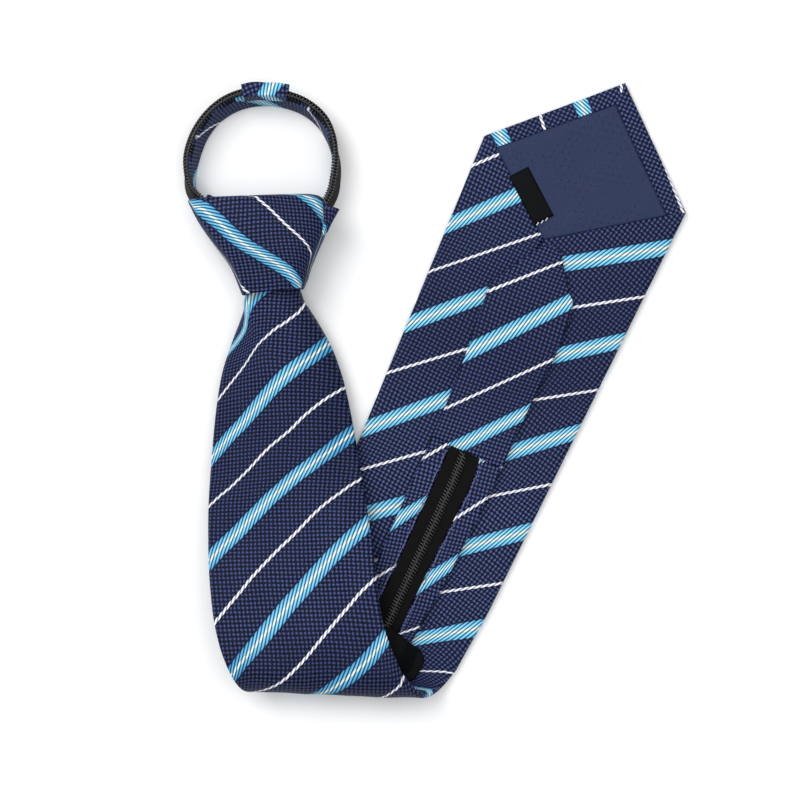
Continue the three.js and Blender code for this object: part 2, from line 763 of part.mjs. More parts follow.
// Room in the knot for the end of a strip
function stripPocket(from, to) {
  return sweepStrip(loopSteps(from, to, 6), (share) => [
    [-loopFlare(share) - gap - 0.6, -1], [neckTapeThickness + gap, -1],
    [neckTapeThickness + gap, stripHeight + gap], [-loopFlare(share) - gap - 0.6, stripHeight + gap],
  ]);
}

// Assembly
const pocketReach = 0.16;
const stripEnds = [stripPocket(0, pocketReach), stripPocket(1 - pocketReach, 1)];
const chainPocket = sheet({
  rows: rowsBetween([knotAlong - 12, tuckAlong + 1], [3]),
  edges: (along) => [zipSide(along) - zipHalf(along), zipSide(along) + zipHalf(along)],
  outer: slotFloor,
  inner: (along) => chainOuter(along) + chainHeight + gap,
  round: 0,
  inside: [0.5],
});
const neckPocket = [bladeSheet, tailSheet].map((layer) => layer(knotAlong - 12, tuckAlong + gap, gap));

const pieces = {
  wide_blade: cutBy(bladeSheet(bladeTip[1] + 1, tuckAlong, 0), [plate(kite, kiteFloor, bladeThickness + 2)]),
  lining: plate(inset(kite, gap), liningLow, liningHigh),
  care_label: plate(labelOutline(), liningHigh + gap, liningHigh + gap + labelThickness),
  keeper_loop: keeperBand(),
  tail: cutBy(tailSheet(tailOutline.tip[1] + 1, tuckAlong, 0), [tailSlot()]),
  tail_tape_left: tapeSheet(-1, tuckAlong),
  tail_tape_right: tapeSheet(1, tuckAlong),
  zip_chain: zipChain(tuckAlong - 1),
  knot_wrap: cutBy(knotBody(), [underTurn(gap), ...stripEnds, ...neckPocket, chainPocket]),
  knot_under_turn: underTurn(0),
  neck_band: neckBand(),
  neck_tape_left: neckTape(stripEnd, napeShare - tapeBreak),
  neck_tape_right: neckTape(napeShare + tapeBreak, 1 - stripEnd),
  neck_coil_left: neckCoil(stripEnd, napeShare - tapeBreak),
  neck_coil_right: neckCoil(napeShare + tapeBreak, 1 - stripEnd),
  nape_cover: napeCover(),
};

const navy = { color: 0x232a55, roughness: 0.7, metalness: 0 };
const satin = { color: 0x36405d, roughness: 0.45, metalness: 0 };
const black = { color: 0x1b1c1e, roughness: 0.8, metalness: 0 };
const nylon = { color: 0x202123, roughness: 0.4, metalness: 0 };
const finishes = {
  wide_blade: navy, tail: navy, knot_wrap: navy, knot_under_turn: navy, neck_band: navy, nape_cover: navy,
  lining: satin, care_label: black, keeper_loop: black,
  tail_tape_left: black, tail_tape_right: black, neck_tape_left: black, neck_tape_right: black,
  zip_chain: nylon, neck_coil_left: nylon, neck_coil_right: nylon,
};

const tie = new THREE.Group();
for (const [name, geometry] of Object.entries(pieces)) {
  const mesh = new THREE.Mesh(geometry, new THREE.MeshStandardMaterial(finishes[name]));
  mesh.name = name;
  tie.add(mesh);
}

// The whole tie turned as it lies, and centred over the origin
tie.rotation.z = -laySlope * degrees;
tie.updateMatrixWorld(true);
const bounds = new THREE.Box3().setFromObject(tie, true);
tie.position.set(-(bounds.min.x + bounds.max.x) / 2, -(bounds.min.y + bounds.max.y) / 2, -bounds.min.z);

export default tie;
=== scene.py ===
import math

import bpy
import numpy as np
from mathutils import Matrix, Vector


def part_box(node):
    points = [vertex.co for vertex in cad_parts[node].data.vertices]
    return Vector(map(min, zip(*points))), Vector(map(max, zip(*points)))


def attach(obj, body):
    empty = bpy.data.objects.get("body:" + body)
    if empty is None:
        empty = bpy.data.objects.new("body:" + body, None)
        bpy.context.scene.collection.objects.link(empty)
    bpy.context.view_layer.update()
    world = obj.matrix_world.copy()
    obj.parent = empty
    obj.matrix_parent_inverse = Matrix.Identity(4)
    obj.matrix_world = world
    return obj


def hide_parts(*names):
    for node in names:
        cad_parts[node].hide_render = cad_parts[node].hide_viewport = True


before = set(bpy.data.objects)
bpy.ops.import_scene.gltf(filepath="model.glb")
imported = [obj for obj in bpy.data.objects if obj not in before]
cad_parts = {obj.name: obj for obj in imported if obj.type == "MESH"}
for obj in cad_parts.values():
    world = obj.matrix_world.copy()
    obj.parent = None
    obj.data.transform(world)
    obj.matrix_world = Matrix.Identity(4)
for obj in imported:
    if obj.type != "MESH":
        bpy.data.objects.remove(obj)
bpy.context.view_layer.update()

# Sizes, in millimetres
GAP = 0.3
BLADE_LENGTH = 250.0
BLADE_WIDTH = 83.2
BLADE_THICK = 3.0
BLADE_TAPER = 1.8
TIP_HEIGHT = 39.6
SHOULDER_SKEW = 2.7
EDGE_ROUND = 1.6
SEAM_OFFSET = -5.0
HEM_LEFT = 6.3
HEM_RIGHT = 7.3
KITE_LENGTH = 70.0
KITE_DEPTH = 1.1
SIDE_INSET = 4.4
LABEL = {"length": 21.4, "reach": 7.8, "seam": 0.6, "thick": 0.4, "start": 12.5}
LIE_ANGLE = math.radians(22.5)
FOLD_RADIUS = 7.5
FRONT_LENGTH = 144.0
DIP_HEIGHT = 12.3
NECK_HEIGHT = 13.5
SIDE_DROOP = 6.0
NECK_THICK = 7.0
LAY_SLOPE = math.radians(2.0)
TAIL_THICK = 2.4
TAIL_START = 70.5
TAIL_SLOT = 1.2        # depth of the slot that holds the zip
ZIP_WIDTH = 12.4
ZIP_CENTRE = 2.0
ZIP_START = 157.5
TOOTH_PITCH = 1.235
KNOT = {"height": 37.0, "width": 57.7, "thick": 24.0, "turn": math.radians(8.0)}
LOOP = {"width": 60.3, "reach": 39.4, "middle": 0.85, "foot": 36.0}
STRIP_HEIGHT = 13.5
REPEAT = 31.9          # from one blue stripe to the next

HALF = BLADE_THICK / 2
MID_RADIUS = FOLD_RADIUS + HALF
FOLD_ARC = math.pi * MID_RADIUS
FOLD_TOP = HALF + 2 * MID_RADIUS
KNOT_ALONG = FOLD_ARC + FRONT_LENGTH


def smooth(share):
    s = np.clip(share, 0, 1)
    return s * s * (3 - 2 * s)


def hermite(raw, low, high, slope_low, slope_high):
    """Cubic from low at 0 to high at 1, straight past both ends."""
    t = np.clip(raw, 0, 1)
    t2, t3 = t * t, t * t * t
    y = (2 * t3 - 3 * t2 + 1) * low + (t3 - 2 * t2 + t) * slope_low
    y += (3 * t2 - 2 * t3) * high + (t3 - t2) * slope_high
    return y + (raw - t) * np.where(raw < 0, slope_low, slope_high)


def spline(points):
    """Smooth curve through points ordered by their first value, straight past its ends."""
    xs, ys = np.array(points, float).T
    n = len(xs)
    lo, hi = np.maximum(np.arange(n) - 1, 0), np.minimum(np.arange(n) + 1, n - 1)
    slope = (ys[hi] - ys[lo]) / (xs[hi] - xs[lo])

    def at(v):
        v = np.asarray(v, float)
        i = np.clip(np.searchsorted(xs, v, side="right") - 1, 0, n - 2)
        span = xs[i + 1] - xs[i]
        return hermite((v - xs[i]) / span, ys[i], ys[i + 1], span * slope[i], span * slope[i + 1])

    return at


def table(columns, *rows):
    return [dict(zip(columns, row)) for row in rows]


def curve(rows, x, y):
    return spline([(r[x], r[y]) for r in rows])


def line_at(a, b, y):
    return a[0] + (b[0] - a[0]) * (y - a[1]) / (b[1] - a[1])


def back_point(from_tip, right):
    """Place in the flat plane (side, along) of a point by its distance from the blade's tip."""
    to_fold = BLADE_LENGTH - from_tip
    s, c = math.sin(LIE_ANGLE), math.cos(LIE_ANGLE)
    return np.array([s * to_fold + c * right, -(c * to_fold - s * right)])


# Outline of the solid's back part: its edges give the fold's width, its kite the place in the frame
TAPER = math.tan(math.radians(BLADE_TAPER))
SOLID_TIP = back_point(0, 0)
SOLID_LEFT = back_point(TIP_HEIGHT + SHOULDER_SKEW, -BLADE_WIDTH / 2)
SOLID_RIGHT = back_point(TIP_HEIGHT - SHOULDER_SKEW, BLADE_WIDTH / 2)
LEFT_FAR = back_point(BLADE_LENGTH, -BLADE_WIDTH / 2 + (BLADE_LENGTH - TIP_HEIGHT - SHOULDER_SKEW) * TAPER)
RIGHT_FAR = back_point(BLADE_LENGTH, BLADE_WIDTH / 2 - (BLADE_LENGTH - TIP_HEIGHT + SHOULDER_SKEW) * TAPER)
FOLD_LEFT = line_at(SOLID_LEFT, LEFT_FAR, 0)
FOLD_RIGHT = line_at(SOLID_RIGHT, RIGHT_FAR, 0)
FOLD_HALF = (FOLD_RIGHT - FOLD_LEFT) / 2

FRONT_ROWS = table(
    ("climb", "centre", "half", "tail", "droop"),
    (0.00, -0.128, 0.885, 0.360, 0.00),
    (0.04, -0.146, 0.880, 0.360, 0.02),
    (0.10, -0.168, 0.865, 0.358, 0.10),
    (0.17, -0.184, 0.855, 0.355, 0.20),
    (0.27, -0.198, 0.848, 0.350, 0.34),
    (0.42, -0.215, 0.812, 0.340, 0.50),
    (0.55, -0.227, 0.755, 0.330, 0.66),
    (0.68, -0.237, 0.690, 0.320, 0.86),
    (0.78, -0.244, 0.615, 0.310, 1.00),
    (0.86, -0.249, 0.510, 0.290, 1.00),
    (0.93, -0.258, 0.385, 0.250, 0.95),
    (0.98, -0.268, 0.290, 0.225, 0.80),
    (1.00, -0.270, 0.270, 0.215, 0.70),
    (1.04, -0.272, 0.200, 0.210, 0.60),
)
front_centre = curve(FRONT_ROWS, "climb", "centre")
front_half = curve(FRONT_ROWS, "climb", "half")
front_tail = curve(FRONT_ROWS, "climb", "tail")
front_droop = curve(FRONT_ROWS, "climb", "droop")


def centre_side(along):
    return FRONT_LENGTH * front_centre((along - FOLD_ARC) / FRONT_LENGTH)


def edge_sides(along):
    if along < 0:
        a, b = (TIP, LEFT_SHOULDER) if along < LEFT_SHOULDER[1] else (LEFT_SHOULDER, LEFT_FAR)
        c, d = (TIP, RIGHT_SHOULDER) if along < RIGHT_SHOULDER[1] else (RIGHT_SHOULDER, RIGHT_FAR)
        return line_at(a, b, along), line_at(c, d, along) - 0.5 - 1.3 * smooth((along + 24) / 24)
    top = FRONT_LENGTH * float(front_centre(0))
    top_half = FOLD_HALF * float(front_half(0))
    if along < FOLD_ARC:
        share = along / FOLD_ARC
        return (FOLD_LEFT + (top - top_half - FOLD_LEFT) * share,
                FOLD_RIGHT - 1.8 + (top + top_half - FOLD_RIGHT + 1.8) * share)
    climb = (along - FOLD_ARC) / FRONT_LENGTH
    half = FOLD_HALF * float(front_half(climb))
    c = float(centre_side(along))
    return c - half - 1.3 * math.exp(-((climb - 0.978) / 0.018) ** 2), c + half


def front_rise(climb):
    low = FOLD_TOP + (DIP_HEIGHT - FOLD_TOP) * smooth(climb / 0.55)
    high = DIP_HEIGHT + (NECK_HEIGHT - DIP_HEIGHT) * smooth((climb - 0.55) / 0.45)
    return np.where(climb < 0.55, low, high)


def folded(side, along, depth):
    """Place on the folded tie of points in the flat plane. Depth runs from the middle inwards."""
    side, along, depth = np.broadcast_arrays(*(np.asarray(v, float) for v in (side, along, depth)))
    turn = np.clip(along, 0, FOLD_ARC) / MID_RADIUS
    radius = MID_RADIUS - depth
    climb = (along - FOLD_ARC) / FRONT_LENGTH
    off = np.minimum(1.2, np.abs(side - centre_side(along)) / (FOLD_HALF * front_half(climb)))
    droop = SIDE_DROOP * front_droop(climb) * off ** 2.2
    y = np.where(along <= 0, -along, np.where(along < FOLD_ARC, -radius * np.sin(turn), along - FOLD_ARC))
    z = np.where(along <= 0, HALF + depth,
                 np.where(along < FOLD_ARC, HALF + MID_RADIUS - radius * np.cos(turn),
                          front_rise(climb) - droop - depth))
    return np.stack([side, y, z], -1)


def offset_line(a, b, by):
    d = (b - a) / np.linalg.norm(b - a)
    n = np.array([-d[1], d[0]]) * by
    return a + n, b + n


def crossing(first, second):
    (a, b), (c, d) = first, second
    r, s = b - a, d - c
    share = ((c - a)[0] * s[1] - (c - a)[1] * s[0]) / (r[0] * s[1] - r[1] * s[0])
    return a + r * share


LEFT_HEM = offset_line(SOLID_TIP, SOLID_LEFT, -HEM_LEFT)
RIGHT_HEM = offset_line(SOLID_TIP, SOLID_RIGHT, HEM_RIGHT)
SOLID_KITE = np.array([
    crossing(LEFT_HEM, RIGHT_HEM),
    crossing(RIGHT_HEM, offset_line(SOLID_RIGHT, RIGHT_FAR, SIDE_INSET)),
    back_point(KITE_LENGTH, SEAM_OFFSET),
    crossing(LEFT_HEM, offset_line(SOLID_LEFT, LEFT_FAR, -SIDE_INSET)),
])


# From the tie's own plane to the frame
lining_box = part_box("lining")
LAY_COS, LAY_SIN = math.cos(LAY_SLOPE), math.sin(LAY_SLOPE)


def turned(p):
    x, y = p[..., 0], p[..., 1]
    return np.stack([LAY_COS * x + LAY_SIN * y, -LAY_SIN * x + LAY_COS * y, p[..., 2]], -1)


def inset(points, by):
    area = sum(p[0] * q[1] - p[1] * q[0] for p, q in zip(points, np.roll(points, -1, 0)))
    by = by if area > 0 else -by
    n = len(points)
    return np.array([crossing(offset_line(points[i - 1], points[i], by),
                              offset_line(points[i], points[(i + 1) % n], by)) for i in range(n)])


solid_lining = inset(SOLID_KITE, GAP)
lining_places = turned(np.column_stack([solid_lining * (1, -1), np.zeros(len(solid_lining))]))
SHIFT = np.array([lining_box[0].x * 1000 - lining_places[:, 0].min(),
                  lining_box[0].y * 1000 - lining_places[:, 1].min(), 0.0])


def place(p):
    return (turned(np.asarray(p, float)) + SHIFT) / 1000


# Meshes
def make(name, points, faces, material, nodes=(), slot=None, uvs=None, smooth_faces=True, local=True):
    """One piece from points in millimetres. uvs maps a map's name to one value per face corner."""
    me = bpy.data.meshes.new(name)
    pts = place(points) if local else np.asarray(points, float) / 1000
    me.from_pydata(pts.tolist(), [], [tuple(int(i) for i in f) for f in faces])
    for key, values in (uvs or {}).items():
        layer = me.uv_layers.new(name=key)
        layer.data.foreach_set("uv", np.asarray(values, np.float32).ravel())
    me.polygons.foreach_set("use_smooth", [smooth_faces] * len(me.polygons))
    me.materials.append(material)
    me.update()
    ob = bpy.data.objects.new(name, me)
    bpy.context.scene.collection.objects.link(ob)
    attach(ob, "root")
    if nodes:
        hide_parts(*nodes)
    return ob


def grid_faces(rows, cols, closed):
    r, c = np.meshgrid(np.arange(rows - 1), np.arange(cols if closed else cols - 1), indexing="ij")
    r, c = r.ravel(), c.ravel()
    d = (c + 1) % cols
    quads = np.column_stack([r * cols + c, r * cols + d, (r + 1) * cols + d, (r + 1) * cols + c])
    return [list(q) for q in quads]


def body_faces(rows, cols):
    """Faces of a closed body through rings of points, its ends filled."""
    ends = [list(range(cols))[::-1], [(rows - 1) * cols + i for i in range(cols)]]
    return grid_faces(rows, cols, True) + ends


def outward(points, faces):
    """The faces of a closed body, all turned over if it is inside out."""
    p = np.asarray(points, float)
    total = 0.0
    for f in faces:
        for i in range(1, len(f) - 1):
            total += np.dot(p[f[0]], np.cross(p[f[i]], p[f[i + 1]]))
    return [f[::-1] for f in faces] if total < 0 else faces


def tube(name, loops, material, maps, **kw):
    """A closed body through loops of points, its ends filled. maps gives a value per point."""
    loops = np.asarray(loops, float)
    points = loops.reshape(-1, 3)
    faces = outward(points, body_faces(*loops.shape[:2]))
    corners = [i for f in faces for i in f]
    return make(name, points, faces, material, uvs={k: np.asarray(v)[corners] for k, v in maps.items()}, **kw)


# Places read in the photo
PIXEL = 0.39                     # millimetres a pixel, on the surface
PHOTO_SIZE = 800
CAMERA_HEIGHT = 1000.0
ANCHOR_PIXEL = (435.5, 390.0)    # the place in the photo of
ANCHOR_PLACE = (28.2, 107.6)     # this place on the tie's own plane


def on_plane(px, py, z):
    """The place in the tie's own plane, at a height, that the photo shows at a pixel."""
    middle = PHOTO_SIZE / 2
    x, y = (middle + (v - middle) * (1 - z / CAMERA_HEIGHT) for v in (px, py))
    dx = (x - ANCHOR_PIXEL[0]) * PIXEL + ANCHOR_PLACE[0]
    dy = (ANCHOR_PIXEL[1] - y) * PIXEL + ANCHOR_PLACE[1]
    return LAY_COS * dx - LAY_SIN * dy, LAY_SIN * dx + LAY_COS * dy


def back_place(px, py):
    z = 3.0
    for _ in range(6):
        x, y = on_plane(px, py, z)
        turn = math.asin(min(1.0, max(0.0, -y / FOLD_RADIUS)))
        z = HALF + MID_RADIUS - FOLD_RADIUS * math.cos(turn)
    return x, (MID_RADIUS * turn if y < 0 else -y)


def front_place(px, py):
    z = 14.0
    outer = MID_RADIUS + HALF
    for _ in range(8):
        x, y = on_plane(px, py, z)
        if y >= 0:
            along = FOLD_ARC + y
            z = float(folded(x, along, -HALF)[2])
        else:
            turn = math.asin(min(1.0, -y / outer))
            along = FOLD_ARC - MID_RADIUS * turn
            z = HALF + MID_RADIUS + outer * math.cos(turn)
    return x, along


# The blade's tip, its shoulders and the kite-shaped opening
TIP, LEFT_SHOULDER, RIGHT_SHOULDER, KITE_TOP, KITE_RIGHT, KITE_BOTTOM, KITE_LEFT = (
    np.array(back_place(*pixel)) for pixel in (
        (626.5, 82.3), (484.5, 135.5), (687.5, 212.5),
        (616, 103.7), (667.5, 216), (543.7, 240), (495.5, 147.5)))
KITE = np.array([KITE_TOP, KITE_RIGHT, KITE_BOTTOM, KITE_LEFT])


# Stripes
class Stripes:
    """Fabric coordinates of a panel, from the lines its stripes follow: k is even on blue, odd on white."""

    def __init__(self, lines, where, hand):
        self.hand = hand
        lines = [(k, np.array([where(*p) for p in points])) for k, *points in lines]
        lines.sort(key=lambda line: line[0])
        run = sum((r[-1] - r[0]) / np.linalg.norm(r[-1] - r[0]) for _, r in lines)
        self.run = run / np.linalg.norm(run)
        self.cross = np.array([-self.run[1], self.run[0]])
        self.mid = np.concatenate([r for _, r in lines]).mean(0)
        self.value = np.array([k for k, _ in lines]) * REPEAT / 2
        self.fits = []
        for _, r in lines:
            uv = np.column_stack([(r - self.mid) @ self.run, (r - self.mid) @ self.cross])
            self.fits.append(spline(uv[np.argsort(uv[:, 0])]))
        if self.fits[-1](0.0) < self.fits[0](0.0):
            self.cross, self.flip = -self.cross, -1
        else:
            self.flip = 1

    def __call__(self, x, y):
        p = np.column_stack([np.ravel(x), np.ravel(y)]) - self.mid
        u, v = p @ self.run, p @ self.cross
        at = np.stack([f(u) * self.flip for f in self.fits], 1)
        rise = np.diff(self.value) / np.maximum(np.diff(at, axis=1), 1.0)
        slope = np.concatenate([rise[:, :1], (rise[:, 1:] + rise[:, :-1]) / 2, rise[:, -1:]], 1)
        i = np.clip((v[:, None] >= at).sum(1) - 1, 0, len(self.value) - 2)
        n = np.arange(len(v))
        span = at[n, i + 1] - at[n, i]
        s = hermite((v - at[n, i]) / span, self.value[i], self.value[i + 1],
                    slope[n, i] * span, slope[n, i + 1] * span)
        return np.column_stack([s, -self.hand * self.flip * u])


FRONT = Stripes([
    (-0.16, (252, 284), (244, 294), (243, 304), (244.6, 316), (242.6, 328), (234.5, 341), (225.5, 352)),
    (0.16, (277, 287), (262, 297), (252.5, 308), (248.6, 318), (246.6, 330), (239, 343), (228.5, 355)),
    (1, (303.5, 306.3), (298.9, 312.3), (292, 317.5), (284.5, 323.2), (275.9, 328.4), (266.7, 336.4),
     (258.7, 344), (253, 352), (244, 366), (230, 384), (217, 401)),
    (2, (328, 344), (312, 356), (296, 367.5), (280, 381), (268, 393.5), (254, 410), (242, 424), (230, 436),
     (214, 455)),
    (3, (344, 388), (324, 400), (304, 416), (290, 430), (280, 438.3), (270, 446.6), (260, 456.7),
     (250, 468), (240, 478), (230, 487.8), (220, 495.8), (210, 505.3)),
    (4, (351, 434.5), (340, 442.5), (330, 450.8), (320, 457.9), (310, 465.6), (300, 472.7), (290, 481),
     (280, 490), (270, 498.5), (260, 509), (250, 519), (240, 530), (230, 539.7), (220, 549), (209, 561)),
    (5, (358, 480.8), (350, 485.5), (340, 492.9), (330, 500), (320, 508.3), (310, 517.8), (300, 528.5),
     (290, 538.5), (280, 547.8), (270, 558), (260, 568.5), (250, 579.5), (240, 592.3), (230, 604),
     (217, 620)),
    (6, (364, 527), (350, 539), (340, 548.6), (330, 558.7), (320, 569.7), (310, 581), (300, 592.5),
     (290, 603.5), (280, 615.5), (270, 627.5), (260, 640), (250, 652), (240, 664), (233, 674)),
    (7, (372, 581.5), (360, 593), (350, 605), (340, 616.5), (330, 628.5), (320, 640.5), (310, 653),
     (300, 664.6), (290, 674.6), (280, 682.5), (270, 688)),
    (8, (383, 642), (370, 658), (360, 667.7), (350, 676), (340, 684), (331, 690)),
    (9, (402.5, 680), (400.5, 685), (395, 690), (388, 694.5)),
], front_place, 1)
LEFT_FLAP = Stripes([
    (1, (475, 164.5), (497, 155)), (2, (453.6, 223), (519.6, 194)), (3, (434, 270), (537.5, 234.5)),
    (4, (410.7, 323), (487.5, 294)), (5, (400, 369), (466, 349)), (6, (400, 416), (448, 398)),
    (7, (400, 458.6), (444.6, 446)), (8, (363, 515), (407, 503)), (9, (368, 562), (376, 560)),
], back_place, -1)
RIGHT_FLAP = Stripes([
    (0, (558, 265), (670.6, 247)), (1, (576, 307), (642, 297)), (2, (555, 356), (620, 341)),
    (3, (534, 400), (598, 390)), (4, (509, 453), (576, 432)), (5, (489, 496.5), (548, 485)),
    (6, (464, 548), (528, 531)), (7, (443, 592), (500.6, 583.5)), (8, (414, 640), (480, 627.5)),
    (9, (419, 671), (447, 672), (454, 674)), (10, (424, 690), (437, 694)),
], back_place, -1)
TOP_HEM = Stripes([
    (0, (498.9, 132.2), (504.4, 143.8)), (1, (540.4, 115.9), (543.9, 127)),
    (2, (580.5, 102.5), (584.3, 111.3)), (3, (620.8, 84.5), (622, 92.2)),
], back_place, -1)
SIDE_HEM = Stripes([(1, (663.2, 161), (682.8, 211)), (2, (623, 177), (643, 227))], back_place, -1)
TAIL_PANEL = Stripes([
    (1, (489, 291), (555, 265)), (2, (466, 353), (573, 300)), (3, (444, 409), (554, 359)),
    (4, (454, 448), (527, 412)),
], back_place, -1)
LEFT_BAND = Stripes([
    (5, (421.5, 459), (443.7, 446)), (5.83, (404, 508), (428, 494.5)), (6.17, (393, 529.5), (424, 508.5)),
    (7, (370, 581), (394.6, 566)),
], back_place, -1)
RIGHT_BAND = Stripes([
    (4, (468, 460), (500, 444)), (5, (456, 517.5), (489, 496.5)), (5.83, (430, 570.5), (460, 552.5)),
    (6.17, (421, 591.5), (457, 566.5)), (7, (403, 632), (421, 626)),
], back_place, -1)


# Materials
def rgb(r, g, b):
    def lin(v):
        v /= 255
        return v / 12.92 if v <= 0.04045 else ((v + 0.055) / 1.055) ** 2.4
    return (lin(r), lin(g), lin(b), 1.0)


class Value:
    """A node's output that is added, subtracted, multiplied and divided like a number."""

    def __init__(self, graph, socket):
        self.graph, self.socket = graph, socket

    def __add__(self, other):
        return self.graph.math("ADD", self, other)

    def __sub__(self, other):
        return self.graph.math("SUBTRACT", self, other)

    def __rsub__(self, other):
        return self.graph.math("SUBTRACT", other, self)

    def __mul__(self, other):
        return self.graph.math("MULTIPLY", self, other)

    def __truediv__(self, other):
        return self.graph.math("DIVIDE", self, other)


class Graph:
    """A material's nodes."""

    def __init__(self, name):
        self.mat = bpy.data.materials.new(name)
        self.mat.use_nodes = True
        self.tree = self.mat.node_tree
        self.bsdf = next(n for n in self.tree.nodes if n.type == "BSDF_PRINCIPLED")

    def node(self, kind, **props):
        n = self.tree.nodes.new(kind)
        for k, v in props.items():
            setattr(n, k, v)
        return n

    def put(self, socket, value):
        if isinstance(value, Value):
            self.tree.links.new(value.socket, socket)
        else:
            socket.default_value = value

    def math(self, op, *values):
        n = self.node("ShaderNodeMath", operation=op)
        for i, v in enumerate(values):
            self.put(n.inputs[i], v)
        return Value(self, n.outputs[0])

    def step(self, value, low, high, a=0.0, b=1.0):
        n = self.node("ShaderNodeMapRange", interpolation_type="SMOOTHSTEP")
        self.put(n.inputs["Value"], value)
        for key, v in zip(("From Min", "From Max", "To Min", "To Max"), (low, high, a, b)):
            n.inputs[key].default_value = v
        return Value(self, n.outputs[0])

    def mix(self, share, a, b):
        n = self.node("ShaderNodeMix", data_type="RGBA")
        for i, v in ((0, share), (6, a), (7, b)):
            self.put(n.inputs[i], v)
        return Value(self, n.outputs[2])

    def noise(self, scale, detail=2.0):
        n = self.node("ShaderNodeTexNoise")
        n.inputs["Scale"].default_value = scale
        n.inputs["Detail"].default_value = detail
        self.tree.links.new(self.node("ShaderNodeTexCoord").outputs["Object"], n.inputs["Vector"])
        return Value(self, n.outputs[0])

    def uv(self, name):
        n = self.node("ShaderNodeUVMap", uv_map=name)
        s = self.node("ShaderNodeSeparateXYZ")
        self.tree.links.new(n.outputs[0], s.inputs[0])
        return Value(self, s.outputs[0]), Value(self, s.outputs[1])

    def bump(self, height, distance, strength):
        n = self.node("ShaderNodeBump")
        n.inputs["Distance"].default_value = distance
        n.inputs["Strength"].default_value = strength
        self.put(n.inputs["Height"], height)
        self.tree.links.new(n.outputs[0], self.bsdf.inputs["Normal"])

    def set(self, **values):
        for k, v in values.items():
            self.put(self.bsdf.inputs[k.replace("_", " ")], v)
        return self.mat


TWILL_LEAN = math.radians(26)    # of the twill lines, steeper than the stripe
TWILL_PITCH = 1.16
CELL = 1.1                       # half a repeat of the ground's lattice
STRIPE_HALF = 2.6                # half width of the blue stripe, without its soft edge


def silk(name, hems=False, shaded=0.0):
    """Striped silk; shaded is painted shade, 0 to 1, that deepens its blue and darkens its ground where the
    cloth turns from the light.
    """
    g = Graph(name)
    s, t = g.uv("fabric")
    if hems:
        hem_s, hem_t = g.uv("hem")
        # The mitre map's second value carries the front's painted shade
        mask, shaded = g.uv("mitre")
        inside = g.step(mask, -0.05, 0.05)
        s = s * (1.0 - inside) + hem_s * inside
        t = t * (1.0 - inside) + hem_t * inside
    phase = s * (math.cos(TWILL_LEAN) / TWILL_PITCH) + t * (math.sin(TWILL_LEAN) / TWILL_PITCH)
    wave = g.math("SINE", phase * (2 * math.pi))
    twill = g.step(wave, -0.65, 0.15)
    # Distance from the middle of the nearest blue stripe, and from the nearest white one
    far = g.math("ABSOLUTE", g.math("FRACT", s / REPEAT + 0.5) - 0.5) * REPEAT
    off = REPEAT / 2 - far
    blue = g.step(far + wave * -0.1, STRIPE_HALF, STRIPE_HALF + 0.25, 1.0, 0.0)
    cream = g.step(far + wave * -0.12, 0.34, 0.62, 1.0, 0.0)
    pin = g.step(off + wave * -0.1, 0.4, 0.6, 1.0, 0.0)
    # Painted shade: dark rims beside the white pins and the blue stripes
    painted_rim_shade = g.math("MAXIMUM", g.step(off, 0.6, 1.1, 0.8, 0.0), g.step(far, 2.75, 3.4, 0.7, 0.0))
    # Ground: a lattice of raised lavender cells with dark gaps
    lattice = g.math("SINE", s * (math.pi / CELL)) * g.math("SINE", t * (math.pi / CELL))
    raised = g.step(lattice + wave * 0.15, -0.2, 0.65)
    dot = g.mix(g.step(g.noise(9.0), 0.35, 0.65), rgb(64, 75, 127), rgb(80, 93, 148))
    ground = g.mix(raised, rgb(2, 6, 24), dot)
    ground = g.mix(g.step(g.noise(35.0, 3.0), 0.35, 0.7, 0.0, 0.18), ground, rgb(14, 18, 44))
    ground = g.mix(painted_rim_shade, ground, rgb(6, 9, 26))
    # Painted shade: the ground darkens as far as shaded
    ground = g.mix(shaded * 0.3, ground, rgb(4, 7, 24))
    # Blue, paler towards its middle with painted shade towards its edges, and deeper still with the painted
    # shade of shaded
    shade = g.step(far, 0.8, 2.8)
    light_blue = g.mix(shade, rgb(160, 228, 250), rgb(108, 196, 236))
    light_blue = g.mix(shaded, light_blue, g.mix(shade, rgb(104, 186, 224), rgb(62, 148, 202)))
    dark_blue = g.mix(shade, rgb(30, 104, 142), rgb(8, 72, 118))
    dark_blue = g.mix(shaded, dark_blue, rgb(8, 58, 98))
    colour = g.mix(blue, ground, g.mix(twill, dark_blue, light_blue))
    colour = g.mix(cream, colour, g.mix(twill, rgb(96, 120, 128), rgb(240, 240, 228)))
    colour = g.mix(pin, colour, g.mix(twill, rgb(160, 162, 186), rgb(248, 248, 252)))
    stripe = g.math("MAXIMUM", blue, pin)
    g.bump(raised * (1.0 - stripe) + (twill * 0.7 + 0.6) * stripe, 0.00025, 0.9)
    return g.set(Base_Color=colour, Roughness=0.55, Specular_IOR_Level=0.12)


DOT_ACROSS, DOT_ALONG = 3.3, 2.4    # from one small dot of the lining to the next


